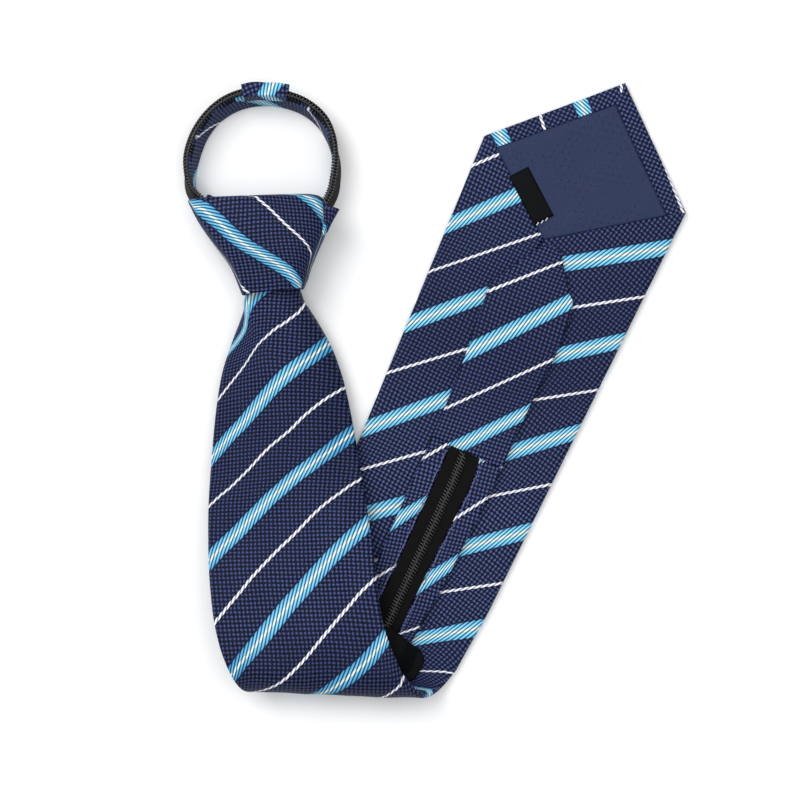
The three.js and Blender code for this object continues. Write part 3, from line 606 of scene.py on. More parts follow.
def satin(name, colour, dots, weave, specular):
    """Plain satin with a fine grain; dots is the darkness of its sparse small dots."""
    g = Graph(name)
    s, t = g.uv("fabric")
    grain = g.noise(2600.0)
    dark, light = (tuple(min(1.0, c * k) for c in colour[:3]) + (1,) for k in (0.82, 1.15))
    base = g.mix(g.step(grain, 0.3, 0.7), dark, light)
    if dots:
        row = g.math("FLOOR", t / DOT_ALONG)
        across = (g.math("FRACT", s / DOT_ACROSS + row * 0.5) - 0.5) * DOT_ACROSS
        along = (g.math("FRACT", t / DOT_ALONG) - 0.5) * DOT_ALONG
        far = g.math("SQRT", across * across + along * along)
        fade = g.step(g.noise(120.0, 1.0), 0.42, 0.6, 0.2, 1.0)
        base = g.mix(g.step(far, 0.22, 0.42, 1.0, 0.0) * fade * dots, base, rgb(16, 20, 38))
    g.bump(g.math("SINE", t * (2 * math.pi / weave)) * 0.5 + grain, 0.00006, 0.6)
    return g.set(Base_Color=base, Roughness=0.45, Specular_IOR_Level=specular)


def tape(name):
    """Woven tape with ribs along it."""
    g = Graph(name)
    s, t = g.uv("fabric")
    weave = g.math("SINE", s * (2 * math.pi / 0.62)) * 0.6 + g.math("SINE", t * (2 * math.pi / 0.5)) * 0.4
    g.bump(weave, 0.00008, 0.7)
    return g.set(Base_Color=g.mix(g.step(weave, -0.8, 0.9), rgb(3, 3, 3), rgb(17, 17, 16)),
                 Roughness=0.65, Specular_IOR_Level=0.08)


def grained(name, dark, light, grain, fine, roughness, specular):
    """Nylon or thread; grain and fine are the scales of its colour and of its surface."""
    g = Graph(name)
    g.bump(g.noise(fine), 0.00003, 0.5)
    return g.set(Base_Color=g.mix(g.step(g.noise(grain), 0.3, 0.7), dark, light), Roughness=roughness,
                 Specular_IOR_Level=specular)


def thread(name, colour):
    dark = tuple(c * 0.8 for c in colour[:3]) + (1,)
    return grained(name, dark, colour, 1500.0, 3000.0, 0.6, 0.2)


SILK = silk("striped_silk")
# The knot's silk, painted with shade all over
SILK_KNOT_PAINTED_SHADE = silk("striped_silk_knot_painted_shade", shaded=0.6)
SILK_HEM = silk("striped_silk_hemmed", hems=True)
LINING = satin("satin_lining", rgb(40, 51, 82), 0.75, 0.5, 0.12)
BLACK_SATIN = satin("black_satin", rgb(6, 7, 9), 0.0, 0.6, 0.06)
TAPE = tape("zip_tape")
# Grey nylon, lighter than the coil's own black: painted highlight for the glints on its teeth
COIL_PAINTED_GLINTS = grained("nylon_coil", rgb(24, 24, 26), rgb(50, 50, 53), 900.0, 2500.0, 0.25, 0.6)
WHITE_THREAD = thread("white_thread", rgb(214, 214, 220))
# Stitch thread whose light lavender is also a painted highlight on the bands' folded edges
LAVENDER_THREAD_AND_EDGE_HIGHLIGHT = thread("lavender_thread_and_edge_highlight", rgb(112, 112, 158))


def ripple(side, along, size):
    """Gentle unevenness of cloth, in millimetres."""
    a = np.sin(side * 0.21 + along * 0.13 + 1.3) + np.sin(side * 0.09 - along * 0.17 + 0.4)
    b = np.sin(side * 0.41 - along * 0.07 + 2.1) + np.sin(along * 0.33 + side * 0.11)
    return size * (a + 0.6 * b) / 3


# The wide blade
def rim(count):
    turn = np.linspace(0, math.pi / 2, count)
    return 1 - np.cos(turn), np.sin(turn)


def kite_sides(along):
    """Where the opening between the flaps starts and ends at a station, and how deep it is."""
    left, right = edge_sides(along)
    middle = (left + right) / 2 + SEAM_OFFSET
    if along <= KITE_TOP[1]:
        at = line_at(TIP, KITE_TOP, along)
        return at - 0.01, at + 0.01, 0.0
    if along < KITE_BOTTOM[1]:
        a, b = (line_at(KITE_TOP, corner, along) if along < corner[1] else line_at(corner, KITE_BOTTOM, along)
                for corner in (KITE_LEFT, KITE_RIGHT))
        return a, max(b, a + 0.02), KITE_DEPTH
    share = smooth((along - KITE_BOTTOM[1]) / 12)
    at = KITE_BOTTOM[0] + (middle - KITE_BOTTOM[0]) * share if along < 0 else middle
    if along < 0:
        at = line_at(KITE_BOTTOM, back_point(BLADE_LENGTH, SEAM_OFFSET), along)
    return at - 0.3, at + 0.3, 0.9


def edge_stretch(edge, along):
    """How much longer a stretch across the edge is when it is read along the station."""
    d = 0.5
    m = (edge(along + d) - edge(along - d)) / (2 * d)
    return math.sqrt(1 + min(m * m, 12))


def blade_half(along):
    gather = smooth(((along - FOLD_ARC) / FRONT_LENGTH - 0.8) / 0.2)
    return (BLADE_THICK + (NECK_THICK - BLADE_THICK) * gather) / 2


RIM_SHARE, RIM_FULL = rim(7)
FRONT_INNER = np.linspace(0, 1, 46)[1:-1]
FLAP = np.linspace(0, 1, 18)[1:-1]
LIP = np.array([0.0, 0.12, 0.4, 0.8, 1.0])
LIP_FALL = np.array([0.0, 0.18, 0.7, 0.97, 1.0])
LIP_WIDTH = 0.5
OPENING = np.linspace(0, 1, 12)[1:-1]


def blade_section(along):
    """The blade's section at a station: sides, depths, and each point's part, which is 0 on the front,
    1 on the right flap, 2 inside the opening and 3 on the left flap."""
    left, right = edge_sides(along)
    width = right - left
    round_left, round_right = (
        min(EDGE_ROUND * edge_stretch(lambda a: edge_sides(a)[i], along), width * 0.3) for i in (0, 1))
    top = float(blade_half(along))
    a, b, deep = kite_sides(along)
    a, b = max(a, left + round_left + 0.02), min(b, right - round_right - 0.02)
    if b <= a:
        a, b = (a + b) / 2 - 0.005, (a + b) / 2 + 0.005
    lip_left, lip_right = (
        min(LIP_WIDTH * edge_stretch(lambda v: kite_sides(v)[i], along), (b - a) * 0.45) for i in (0, 1))
    front = np.concatenate([left + RIM_SHARE * round_left,
                            left + round_left + (width - round_left - round_right) * FRONT_INNER,
                            (right - RIM_SHARE * round_right)[::-1]])
    right_flap = np.concatenate([(right - RIM_SHARE * round_right)[1:],
                                 right - round_right + (b - right + round_right) * FLAP, b - lip_right * LIP])
    opening = b - lip_right + (a + lip_left - b + lip_right) * OPENING
    left_flap = np.concatenate([a + lip_left * LIP[::-1], a + (left + round_left - a) * FLAP,
                                (left + RIM_SHARE * round_left)[::-1][:-1]])
    side = np.concatenate([front, right_flap, opening, left_flap])
    level = np.full(len(FLAP), top)
    depth = np.concatenate([
        -top * np.concatenate([RIM_FULL, np.ones(len(FRONT_INNER)), RIM_FULL[::-1]]),
        top * RIM_FULL[1:], level, top - deep * LIP_FALL,
        np.full(len(OPENING), top - deep),
        top - deep * LIP_FALL[::-1], level, top * RIM_FULL[::-1][:-1]])
    parts = np.repeat([0, 1, 2, 3], [len(front), len(right_flap), len(opening), len(left_flap)])
    # Cloth is never quite even: more on the part that stands clear of the table
    lift = smooth((along - 4) / 30) * 0.55 + 0.18
    calm = np.clip(np.minimum(side - left, right - side) / 6, 0, 1)
    return side, depth + np.where((parts > 0) | (along > 2), ripple(side, along, lift) * calm, 0), parts


def blade_rows():
    """The stations from the tip to the knot, with the outline's corners among them."""
    marks = [TIP[1] + 0.25, TIP[1] + 0.8, KITE_TOP[1] - 0.05, KITE_TOP[1] + 0.4, LEFT_SHOULDER[1],
             KITE_LEFT[1], RIGHT_SHOULDER[1], KITE_RIGHT[1], KITE_BOTTOM[1] - 0.1, KITE_BOTTOM[1] + 0.4,
             0, FOLD_ARC]
    rows = np.concatenate([np.arange(TIP[1] + 1.5, 0, 1.15), np.arange(0, FOLD_ARC, 0.6),
                           np.arange(FOLD_ARC, KNOT_ALONG + 3.4, 1.2), marks])
    return np.unique(np.round(rows, 3))


def beside(start, end, side, along):
    """How far places lie to one side of a line; the sign tells which."""
    d = (end - start) / np.linalg.norm(end - start)
    return d[0] * (along - start[1]) - d[1] * (side - start[0])


def hem_mask(flap, side, along):
    """Above 0 where a flap shows the hem's cloth: towards the tip from the mitre, and outside the kite."""
    corner = KITE_RIGHT if flap == 1 else KITE_LEFT
    mitre = (KITE_RIGHT, RIGHT_SHOULDER) if flap == 1 else (LEFT_SHOULDER, KITE_LEFT)
    outside = beside(KITE_TOP, corner, side, along) * np.sign(beside(KITE_TOP, corner, *TIP))
    return np.minimum(-beside(*mitre, side, along), outside + 0.7)


def front_painted_shade(side, along):
    """Painted shade on the front's silk, 0 to 1: how far its blue turns from the light."""
    climb = (along - FOLD_ARC) / FRONT_LENGTH
    across = (side - centre_side(along)) / (FOLD_HALF * front_half(climb))
    return np.clip(0.25 + 0.8 * smooth((across - 0.1) / 0.8) * smooth((climb - 0.3) / 0.3)
                   + 0.6 * smooth((0.12 - climb) / 0.14) + 0.3 * smooth((-across - 0.6) / 0.4), 0, 1)


def build_blade():
    rows = blade_rows()
    sections = [blade_section(along) for along in rows]
    parts = sections[0][2]
    points = np.concatenate([folded(side, along, depth) for along, (side, depth, _) in zip(rows, sections)])
    side, along = np.concatenate([s for s, _, _ in sections]), np.repeat(rows, len(parts))
    faces = outward(points, body_faces(len(rows), len(parts)))
    face_parts = list(np.tile(np.maximum(parts, np.roll(parts, -1)), len(rows) - 1)) + [0, 0]

    def per_corner(values):
        """A value per face corner, from the map of the face's own part."""
        return np.concatenate([values[part][face] for face, part in zip(faces, face_parts)])

    def panels(*stripes):
        return [stripe(side, along) for stripe in stripes]

    none, plain = np.full(len(along), -5.0), np.zeros(len(along))
    # Per part: the mask for the hem's cloth, and the painted shade, which only the front has
    shown = [np.column_stack(pair) for pair in (
        (none, front_painted_shade(side, along)), (hem_mask(1, side, along), plain), (none, plain),
        (hem_mask(3, side, along), plain))]
    return make("blade_cloth", points, faces, SILK_HEM, nodes=["wide_blade"], slot="striped_silk", uvs={
        "fabric": per_corner(panels(FRONT, RIGHT_FLAP, LEFT_FLAP, LEFT_FLAP)),
        "hem": per_corner(panels(FRONT, SIDE_HEM, TOP_HEM, TOP_HEM)),
        "mitre": per_corner(shown)})


blade = build_blade()


# Lining and label
def plate_grid(name, corners, low, high, material, count, wave, direction, **kw):
    """A thin cloth plate over a four-sided outline, gently uneven."""
    a, b, c, d = (np.array(p, float) for p in corners)
    u = np.linspace(0, 1, count)
    us, vs = np.meshgrid(u, u, indexing="ij")
    us, vs = us[..., None], vs[..., None]
    flat = (1 - us) * ((1 - vs) * a + vs * d) + us * ((1 - vs) * b + vs * c)
    side, along = flat[..., 0], flat[..., 1]
    rimmed = np.minimum.reduce([us[..., 0], 1 - us[..., 0], vs[..., 0], 1 - vs[..., 0]])
    lift = wave(side, along) * np.clip(rimmed * 12, 0, 1)
    top = np.stack([side, -along, np.full(side.shape, high) + lift], -1)
    bottom = np.stack([side, -along, np.full(side.shape, low) + lift], -1)
    points = np.concatenate([top.reshape(-1, 3), bottom.reshape(-1, 3)])
    quads = grid_faces(count, count, False)
    n = count * count
    faces = quads + [[i + n for i in q[::-1]] for q in quads]
    edge = list(range(count)) + [i * count + count - 1 for i in range(1, count)]
    edge += [(count - 1) * count + i for i in range(count - 2, -1, -1)]
    edge += [i * count for i in range(count - 2, 0, -1)]
    faces = outward(points, faces + [[j, i, i + n, j + n] for i, j in zip(edge, edge[1:] + edge[:1])])
    d1 = np.array(direction) / np.linalg.norm(direction)
    s = side * d1[0] + along * d1[1]
    t = -side * d1[1] + along * d1[0]
    st = np.column_stack([np.tile(s.ravel(), 2), np.tile(t.ravel(), 2)])
    idx = [i for f in faces for i in f]
    return make(name, points, faces, material, uvs={"fabric": st[idx]}, **kw)


LINING_LOW = BLADE_THICK - KITE_DEPTH + GAP
LINING_THICK = 0.5
LABEL_LOW = LINING_LOW + LINING_THICK + GAP
lining = plate_grid("lining_cloth", inset(KITE, GAP * 0.4), LINING_LOW, LINING_LOW + LINING_THICK, LINING, 48,
                    lambda x, y: 0.16 + ripple(x, y, 0.22), RIGHT_SHOULDER - TIP, nodes=["lining"],
                    slot="satin_lining")


def label_corners():
    """The label's outline, and the direction of the seam that it is sewn into."""
    run = (KITE_BOTTOM - KITE_LEFT) / np.linalg.norm(KITE_BOTTOM - KITE_LEFT)
    over = np.array([-run[1], run[0]])
    over = over * np.sign(np.dot(over, KITE_TOP - KITE_LEFT))
    start, end = LABEL["start"], LABEL["start"] + LABEL["length"]
    places = ((start, -LABEL["seam"]), (end, -LABEL["seam"]), (end, LABEL["reach"]), (start, LABEL["reach"]))
    return [KITE_LEFT + run * at + over * reach for at, reach in places], run


label_outline, label_run = label_corners()
label = plate_grid("care_label_cloth", label_outline, LABEL_LOW, LABEL_LOW + LABEL["thick"], BLACK_SATIN, 20,
                   lambda x, y: 0.25 + ripple(x, y, 0.15), label_run,
                   nodes=["care_label"], slot="black_satin")


# The tail
TAIL_LOW = HALF + GAP


def on_blade(*pixels):
    """Photo points on the blade's back, as distances from its tip along the centre line and sides."""
    rows = []
    for px, py in pixels:
        x, along = back_place(px, py)
        rows.append((BLADE_LENGTH - math.sin(LIE_ANGLE) * x + math.cos(LIE_ANGLE) * along,
                     math.cos(LIE_ANGLE) * x + math.sin(LIE_ANGLE) * along))
    return rows


# Edges of the tail and of the zip. The last point of each lies under the front part
TAIL_LEFT = [
    (TAIL_START, -2.0),
    *on_blade((540, 247), (490, 282), (466, 353), (444, 409), (392, 527), (365, 587.6)),
    (BLADE_LENGTH, -11.5)]
TAIL_RIGHT = [
    (TAIL_START, -1.5),
    *on_blade((560.5, 252), (569, 294), (573, 300), (571, 315), (554, 359), (527, 412), (489, 496.5),
              (458.5, 556), (442, 590), (421, 626)),
    (BLADE_LENGTH, 12.5)]
ZIP_LEFT = [(ZIP_START - 0.5, -4.8), *on_blade((428, 496), (394, 570), (380, 598)), (BLADE_LENGTH, -5.0)]
ZIP_RIGHT = [(ZIP_START - 0.5, 7.4), *on_blade((475, 474.5), (466, 495), (428, 570), (400, 628)),
             (BLADE_LENGTH, 6.8)]
ZIP_LINE = [(ZIP_START - 0.5, 1.2), *on_blade((450.5, 486.5), (414.5, 564.5)), (BLADE_LENGTH, 1.5)]


def reader(edge, shift=0.0):
    """An edge's side at a distance from the blade's tip, moved sideways by shift."""
    return lambda s: float(np.interp(s, [r[0] for r in edge], [r[1] for r in edge])) + shift


tail_left, tail_right, zip_left, zip_right, zip_line = (
    reader(edge) for edge in (TAIL_LEFT, TAIL_RIGHT, ZIP_LEFT, ZIP_RIGHT, ZIP_LINE))


def strip_of(name, stations, material, stripes, rounding=0.9, wave=0.12, cols=26, **kw):
    """A cloth strip with rounded edges. A station is its left and right place in the flat plane and
    the depths of its lower and upper face."""
    share, full = rim(5)
    inner = np.linspace(0, 1, cols)[1:-1]
    loops, flats = [], []
    for left, right, low, high in stations:
        left, right = np.asarray(left, float), np.asarray(right, float)
        width = np.linalg.norm(right - left)
        r = min(rounding, width * 0.3) / width
        u = np.concatenate([share * r, r + (1 - 2 * r) * inner, (1 - share * r)[::-1]])
        f = np.concatenate([full, np.ones(len(inner)), full[::-1]])
        flat = left + (right - left) * u[:, None]
        mid, half = (low + high) / 2, (high - low) / 2
        uneven = ripple(flat[:, 0], flat[:, 1], wave) * f
        both = np.concatenate([flat, flat[::-1][1:-1]])
        depth = np.concatenate([mid + half * f + uneven, (mid - half * f)[::-1][1:-1]])
        loops.append(folded(both[:, 0], both[:, 1], depth))
        flats.append(both)
    flats = np.array(flats).reshape(-1, 2)
    return tube(name, loops, material, {"fabric": stripes(flats[:, 0], flats[:, 1])}, **kw)


def tail_upper():
    end = ZIP_START + 0.9
    rows = [TAIL_START + 0.3, TAIL_START + 0.9, *np.arange(TAIL_START + 2, end - 0.1, 1.2), end]
    stations = []
    for s in rows:
        thick = TAIL_THICK * (smooth((end - s) / 1.6) * 0.5 + 0.5)
        ends = [back_point(s, edge(s)) for edge in (tail_left, tail_right)]
        stations.append((*ends, TAIL_LOW, TAIL_LOW + thick))
    return strip_of("tail_cloth", stations, SILK, TAIL_PANEL, nodes=["tail"], slot="striped_silk")


tail = tail_upper()


def zip_side(along):
    start, end = back_point(ZIP_START, ZIP_CENTRE), back_point(BLADE_LENGTH, ZIP_CENTRE)
    if along < 0:
        return line_at(start, end, along)
    at_fold = line_at(start, end, 0)
    top = FRONT_LENGTH * float(front_centre(0))
    return at_fold + (top - at_fold) * along / FOLD_ARC if along < FOLD_ARC else float(centre_side(along))


def zip_station(share, u):
    """From square to the tail's axis at the seam to square to the fold's line where the fold starts."""
    end = BLADE_LENGTH - math.tan(LIE_ANGLE) * u
    return back_point(ZIP_START + (end - ZIP_START) * share, u)


def tail_depth(along):
    return float(blade_half(along)) + GAP


def run_stations(left_u, right_u, left_share, right_share, low, high):
    """Stations of a strip beside the zip: on the back part, through the fold, and up to the knot.
    The shares give its edges on the front, in half widths of the tail from the zip."""
    stations = []
    for s in np.linspace(ZIP_START, BLADE_LENGTH, 72):
        share = (s - ZIP_START) / (BLADE_LENGTH - ZIP_START)
        stations.append((zip_station(share, left_u(s)), zip_station(share, right_u(s)),
                         TAIL_LOW + low, TAIL_LOW + high))
    starts = [zip_station(1, u(BLADE_LENGTH))[0] for u in (left_u, right_u)]
    middle, half = FRONT_LENGTH * float(front_centre(0)), FOLD_HALF * float(front_tail(0))
    for along in np.concatenate([np.arange(0.8, FOLD_ARC, 0.9), np.arange(FOLD_ARC, KNOT_ALONG - 2, 3.0)]):
        if along < FOLD_ARC:
            sides = [start + (middle + share * half - start) * along / FOLD_ARC
                     for start, share in zip(starts, (left_share, right_share))]
        else:
            wide = FOLD_HALF * float(front_tail((along - FOLD_ARC) / FRONT_LENGTH))
            sides = [float(centre_side(along)) + share * wide for share in (left_share, right_share)]
        depth = tail_depth(along)
        stations.append(((sides[0], along), (sides[1], along), depth + low, depth + high))
    return stations


def straight(x, y):
    """Fabric coordinates across and along a tape."""
    x, y = np.ravel(x), np.ravel(y)
    c, s = math.cos(LIE_ANGLE), math.sin(LIE_ANGLE)
    return np.column_stack([c * x + s * y, -s * x + c * y])


TAPE_INSET = 0.15                # the tapes end this far inside the slot, and beside its middle
TAPE_LOW = TAIL_THICK - TAIL_SLOT + GAP
TAPE_THICK = 0.5
slot = ZIP_WIDTH / 2 / (FOLD_HALF * float(front_tail(0)))
slot_left, slot_right = reader(ZIP_LEFT, TAPE_INSET), reader(ZIP_RIGHT, -TAPE_INSET)
middle_left, middle_right = reader(ZIP_LINE, -TAPE_INSET), reader(ZIP_LINE, TAPE_INSET)
left_band = strip_of("tail_band_left", run_stations(tail_left, zip_left, -1, -slot, 0, TAIL_THICK), SILK,
                     LEFT_BAND, rounding=0.8, cols=12, slot="striped_silk")
right_band = strip_of("tail_band_right", run_stations(zip_right, tail_right, slot, 1, 0, TAIL_THICK), SILK,
                      RIGHT_BAND, rounding=0.8, cols=12, slot="striped_silk")
tail_back = strip_of("tail_backing", run_stations(slot_left, slot_right, -slot * 0.96, slot * 0.96, 0.0, 0.9),
                     BLACK_SATIN, LEFT_BAND, rounding=0.3, cols=10, slot="striped_silk")
tape_l, tape_r = (
    strip_of("zip_tape_" + hand, run_stations(*sides, TAPE_LOW, TAPE_LOW + TAPE_THICK), TAPE, straight,
             rounding=0.2, wave=0.05, cols=12, nodes=["tail_tape_" + hand], slot="zip_tape")
    for hand, sides in (("left", (slot_left, middle_left, -slot * 0.96, -0.01)),
                        ("right", (middle_right, slot_right, 0.01, slot * 0.96))))


# Coils
def sweep(path, radius, sides):
    """Points and faces of a round tube along a path of points."""
    path = np.asarray(path, float)
    t = np.gradient(path, axis=0)
    t /= np.linalg.norm(t, axis=1)[:, None]
    ref = np.array([0.0, 0.0, 1.0])
    rings = []
    for p, d in zip(path, t):
        a = np.cross(d, ref if abs(d[2]) < 0.95 else np.array([1.0, 0, 0]))
        a /= np.linalg.norm(a)
        b = np.cross(d, a)
        ang = np.linspace(0, 2 * math.pi, sides, endpoint=False)
        rings.append(p + radius * (np.cos(ang)[:, None] * a + np.sin(ang)[:, None] * b))
    return np.concatenate(rings), body_faces(len(path), sides)


def many(name, parts, material, **kw):
    """One piece of many small bodies."""
    points, faces, base = [], [], 0
    for pts, fcs in parts:
        fcs = outward(pts - pts.mean(0), fcs)
        points.append(pts)
        faces += [[i + base for i in f] for f in fcs]
        base += len(pts)
    return make(name, np.concatenate(points), faces, material, **kw)


def chain():
    """The closed coil: slanted turns from both sides that meet in raised heads over a cord."""
    parts = []
    low = TAIL_LOW + TAPE_LOW + TAPE_THICK
    reach = 1.9
    for k in range(int((BLADE_LENGTH + 4 - ZIP_START) / TOOTH_PITCH)):
        for hand in (-1, 1):
            s0 = ZIP_START + 1.4 + (k + (0.5 if hand > 0 else 0)) * TOOTH_PITCH
            path = []
            for v in np.linspace(0, 1, 7):
                off = hand * (reach * (1 - v) - 0.45 * v)
                lift = 0.34 + 0.7 * math.sin(math.pi * 0.5 * min(1.0, v * 2.2)) - max(0.0, v - 0.8)
                s = s0 + 0.36 * off
                side, along = back_point(s, zip_line(s) + off)
                path.append(folded(side, along, low + lift).tolist())
            parts.append(sweep(path, 0.3, 6))
    path = [back_point(s, zip_line(s)) for s in np.linspace(ZIP_START + 0.9, BLADE_LENGTH + 2, 70)]
    line = [folded(p[0], p[1], low + 0.42).tolist() for p in path]
    start = path[-1]
    hidden = [*np.arange(start[1] + 1.2, FOLD_ARC, 1.2), *np.arange(FOLD_ARC, KNOT_ALONG - 6, 3)]
    for along in hidden:
        d = tail_depth(along) + TAPE_LOW + TAPE_THICK + 0.62
        share = smooth((along - start[1]) / 12)
        line.append(folded(start[0] + (zip_side(along) - start[0]) * share, along, d).tolist())
    parts.append(sweep(line, 0.5, 8))
    return many("zip_coil", parts, COIL_PAINTED_GLINTS, nodes=["zip_chain"], slot="nylon_coil")


coil = chain()


# Keeper
def keeper():
    """The band that crosses the tail just above the fold, its right end rounded."""
    over_blade, over_tail = HALF + GAP, HALF + GAP + TAIL_THICK + GAP
    over_chain = HALF + GAP + TAPE_LOW + TAPE_THICK + 1.75
    near, far = 231.6, 249.7                         # its edges, from the blade's tip
    start, end, corner_start = -17, 20.8, 17         # its ends, from the blade's centre line
    tail_edge, other_edge = -11.8, 13.2
    chain_side, chain_half = 1.7, 2.1
    us = [start, tail_edge - 2.4, tail_edge, chain_side - chain_half - 1.8, chain_side - chain_half,
          chain_side + chain_half, chain_side + chain_half + 1.8, other_edge, other_edge + 2.1, end]
    ds = [over_blade, over_blade, over_tail, over_tail, over_chain,
          over_chain, over_tail, over_tail, over_blade, over_blade]
    u = np.concatenate([np.linspace(start, corner_start, 60),
                        end - (end - corner_start) * np.cos(np.linspace(0, math.pi / 2, 10)[1:])])
    d = np.convolve(np.pad(np.interp(u, us, ds), 4, mode="edge"), np.ones(9) / 9, mode="valid")
    corner = np.sqrt(np.clip(1 - ((u - corner_start) / 3.95).clip(0, 1) ** 2, 0, 1))
    top, bottom = near + 0.27 * np.clip(u - 5, 0, None), np.full(len(u), far)
    mid = (top + bottom) / 2
    top, bottom = (mid + (edge - mid) * (0.55 + 0.45 * corner) for edge in (top, bottom))
    loops, flats = [], []
    count = 20
    for k in range(count):
        w = k / (count - 1)
        soft = math.sin(min(1.0, min(k, count - 1 - k) / 3 + 0.25) * math.pi / 2)
        flat = np.array([back_point(a + (b - a) * w, v) for a, b, v in zip(top, bottom, u)])
        up, down = d + 0.4 + 0.4 * soft + 0.25 * math.sin(math.pi * w), d + 0.4 - 0.4 * soft
        both = np.concatenate([flat, flat[::-1]])
        loops.append(folded(both[:, 0], both[:, 1], np.concatenate([up, down[::-1]])))
        flats.append(both)
    flats = np.array(flats).reshape(-1, 2)
    return tube("keeper_cloth", loops, BLACK_SATIN, {"fabric": straight(flats[:, 0], flats[:, 1])},
                nodes=["keeper_loop"], slot="black_satin")


keep = keeper()


# Stitches
def dash(a, b, radius, lift):
    """One stitch between two places of the flat plane, sunk at its ends. lift is its depth on the tie."""
    path = []
    for v in np.linspace(0, 1, 6):
        side, along = a[0] + (b[0] - a[0]) * v, a[1] + (b[1] - a[1]) * v
        path.append(folded(side, along, lift + radius * 0.9 * math.sin(math.pi * v) - radius * 0.3).tolist())
    return sweep(path, radius, 6)


def zip_stitches():
    # Stitches beside the zip; their light colour is partly a painted highlight on the folded edges
    parts = []
    top = TAIL_LOW + TAIL_THICK
    for edge, off in ((zip_left, -0.75), (zip_right, 0.75)):
        s = ZIP_START + 2.5
        while s < BLADE_LENGTH - 19:
            ends = [back_point(v, edge(v) + off) for v in (s, s + 1.5)]
            parts.append(dash(*ends, 0.2, top + 0.05))
            s += 2.0
    return many("zip_stitches", parts, LAVENDER_THREAD_AND_EDGE_HIGHLIGHT, slot="striped_silk")


def white_stitches():
    label_top, band_top = LABEL_LOW + LABEL["thick"] + 0.45 - HALF, TAIL_LOW + TAIL_THICK + 0.1
    parts = []
    for a, b, lift in (((536.5, 225.5), (538.5, 222.5), label_top), ((541, 223.5), (543, 220.5), label_top),
                       ((545.5, 221), (547.5, 218), label_top), ((480.3, 458.6), (478.8, 463.3), band_top),
                       ((484.3, 460.4), (482.3, 462.4), band_top)):
        parts.append(dash(back_place(*a), back_place(*b), 0.24, lift))
    return many("white_stitches", parts, WHITE_THREAD, slot="black_satin")


zip_stitches()
white_stitches()


# Knot
KNOT_FOOT = folded(float(centre_side(KNOT_ALONG)), KNOT_ALONG, 0.0) - np.array([1.15, 0.0, 0.0])
KNOT_COS, KNOT_SIN = math.cos(KNOT["turn"]), math.sin(KNOT["turn"])


def knot_point(across, up, z):
    across, up, z = np.broadcast_arrays(*(np.asarray(v, float) for v in (across, up, z)))
    return np.stack([KNOT_FOOT[0] + KNOT_COS * across - KNOT_SIN * up,
                     KNOT_FOOT[1] + KNOT_SIN * across + KNOT_COS * up, z], -1)


def knot_flat(x, y):
    """Across and up the knot, of places in the tie's plane."""
    dx, dy = x - KNOT_FOOT[0], y - KNOT_FOOT[1]
    return KNOT_COS * dx + KNOT_SIN * dy, -KNOT_SIN * dx + KNOT_COS * dy


def knot_place(px, py):
    return knot_flat(*on_plane(px, py, 20.0))


KNOT_STRIPES = Stripes([
    (3, (190, 252), (215, 268), (238, 284), (249.5, 294.5)),
    (2, (191, 205.5), (201.5, 208.8), (207.9, 213.4), (214.2, 218.6), (221.4, 224.6), (228.7, 232),
     (234.9, 237.4), (242.2, 243), (249.5, 248), (257.8, 252.6), (265, 257.2), (273.3, 261.8), (281.6, 267),
     (288.9, 272.4), (295.1, 279), (300.3, 286.6)),
    (1, (254.1, 195.2), (259.8, 200.4), (266.1, 205.6), (272.3, 211.3), (278.5, 217.5), (284.8, 223.7),
     (292, 230.3), (298.3, 235.8), (304.5, 241.9), (309.2, 248.1), (311.6, 256)),
    (0, (307.1, 196.7), (313.8, 201.4), (319, 207.6), (324.2, 214.9), (327.4, 222.2), (328, 229.5)),
], knot_place, 1)
KNOT_ROWS = table(
    ("up", "left", "right", "back", "front", "slant"),
    (0.00, -0.200, 0.215, 0.16, 0.86, 0.00),
    (0.10, -0.218, 0.250, 0.06, 0.90, 0.00),
    (0.22, -0.240, 0.282, 0.00, 0.93, 0.00),
    (0.34, -0.272, 0.322, 0.00, 0.96, 0.01),
    (0.56, -0.362, 0.395, 0.00, 0.99, 0.03),
    (0.77, -0.440, 0.418, 0.00, 1.00, 0.05),
    (0.92, -0.482, 0.420, 0.00, 0.98, 0.07),
    (0.98, -0.492, 0.385, 0.03, 0.93, 0.07),
    (1.00, -0.470, 0.340, 0.12, 0.84, 0.07),
)
knot_cols = {k: curve(KNOT_ROWS, "up", k) for k in ("left", "right", "back", "front", "slant")}


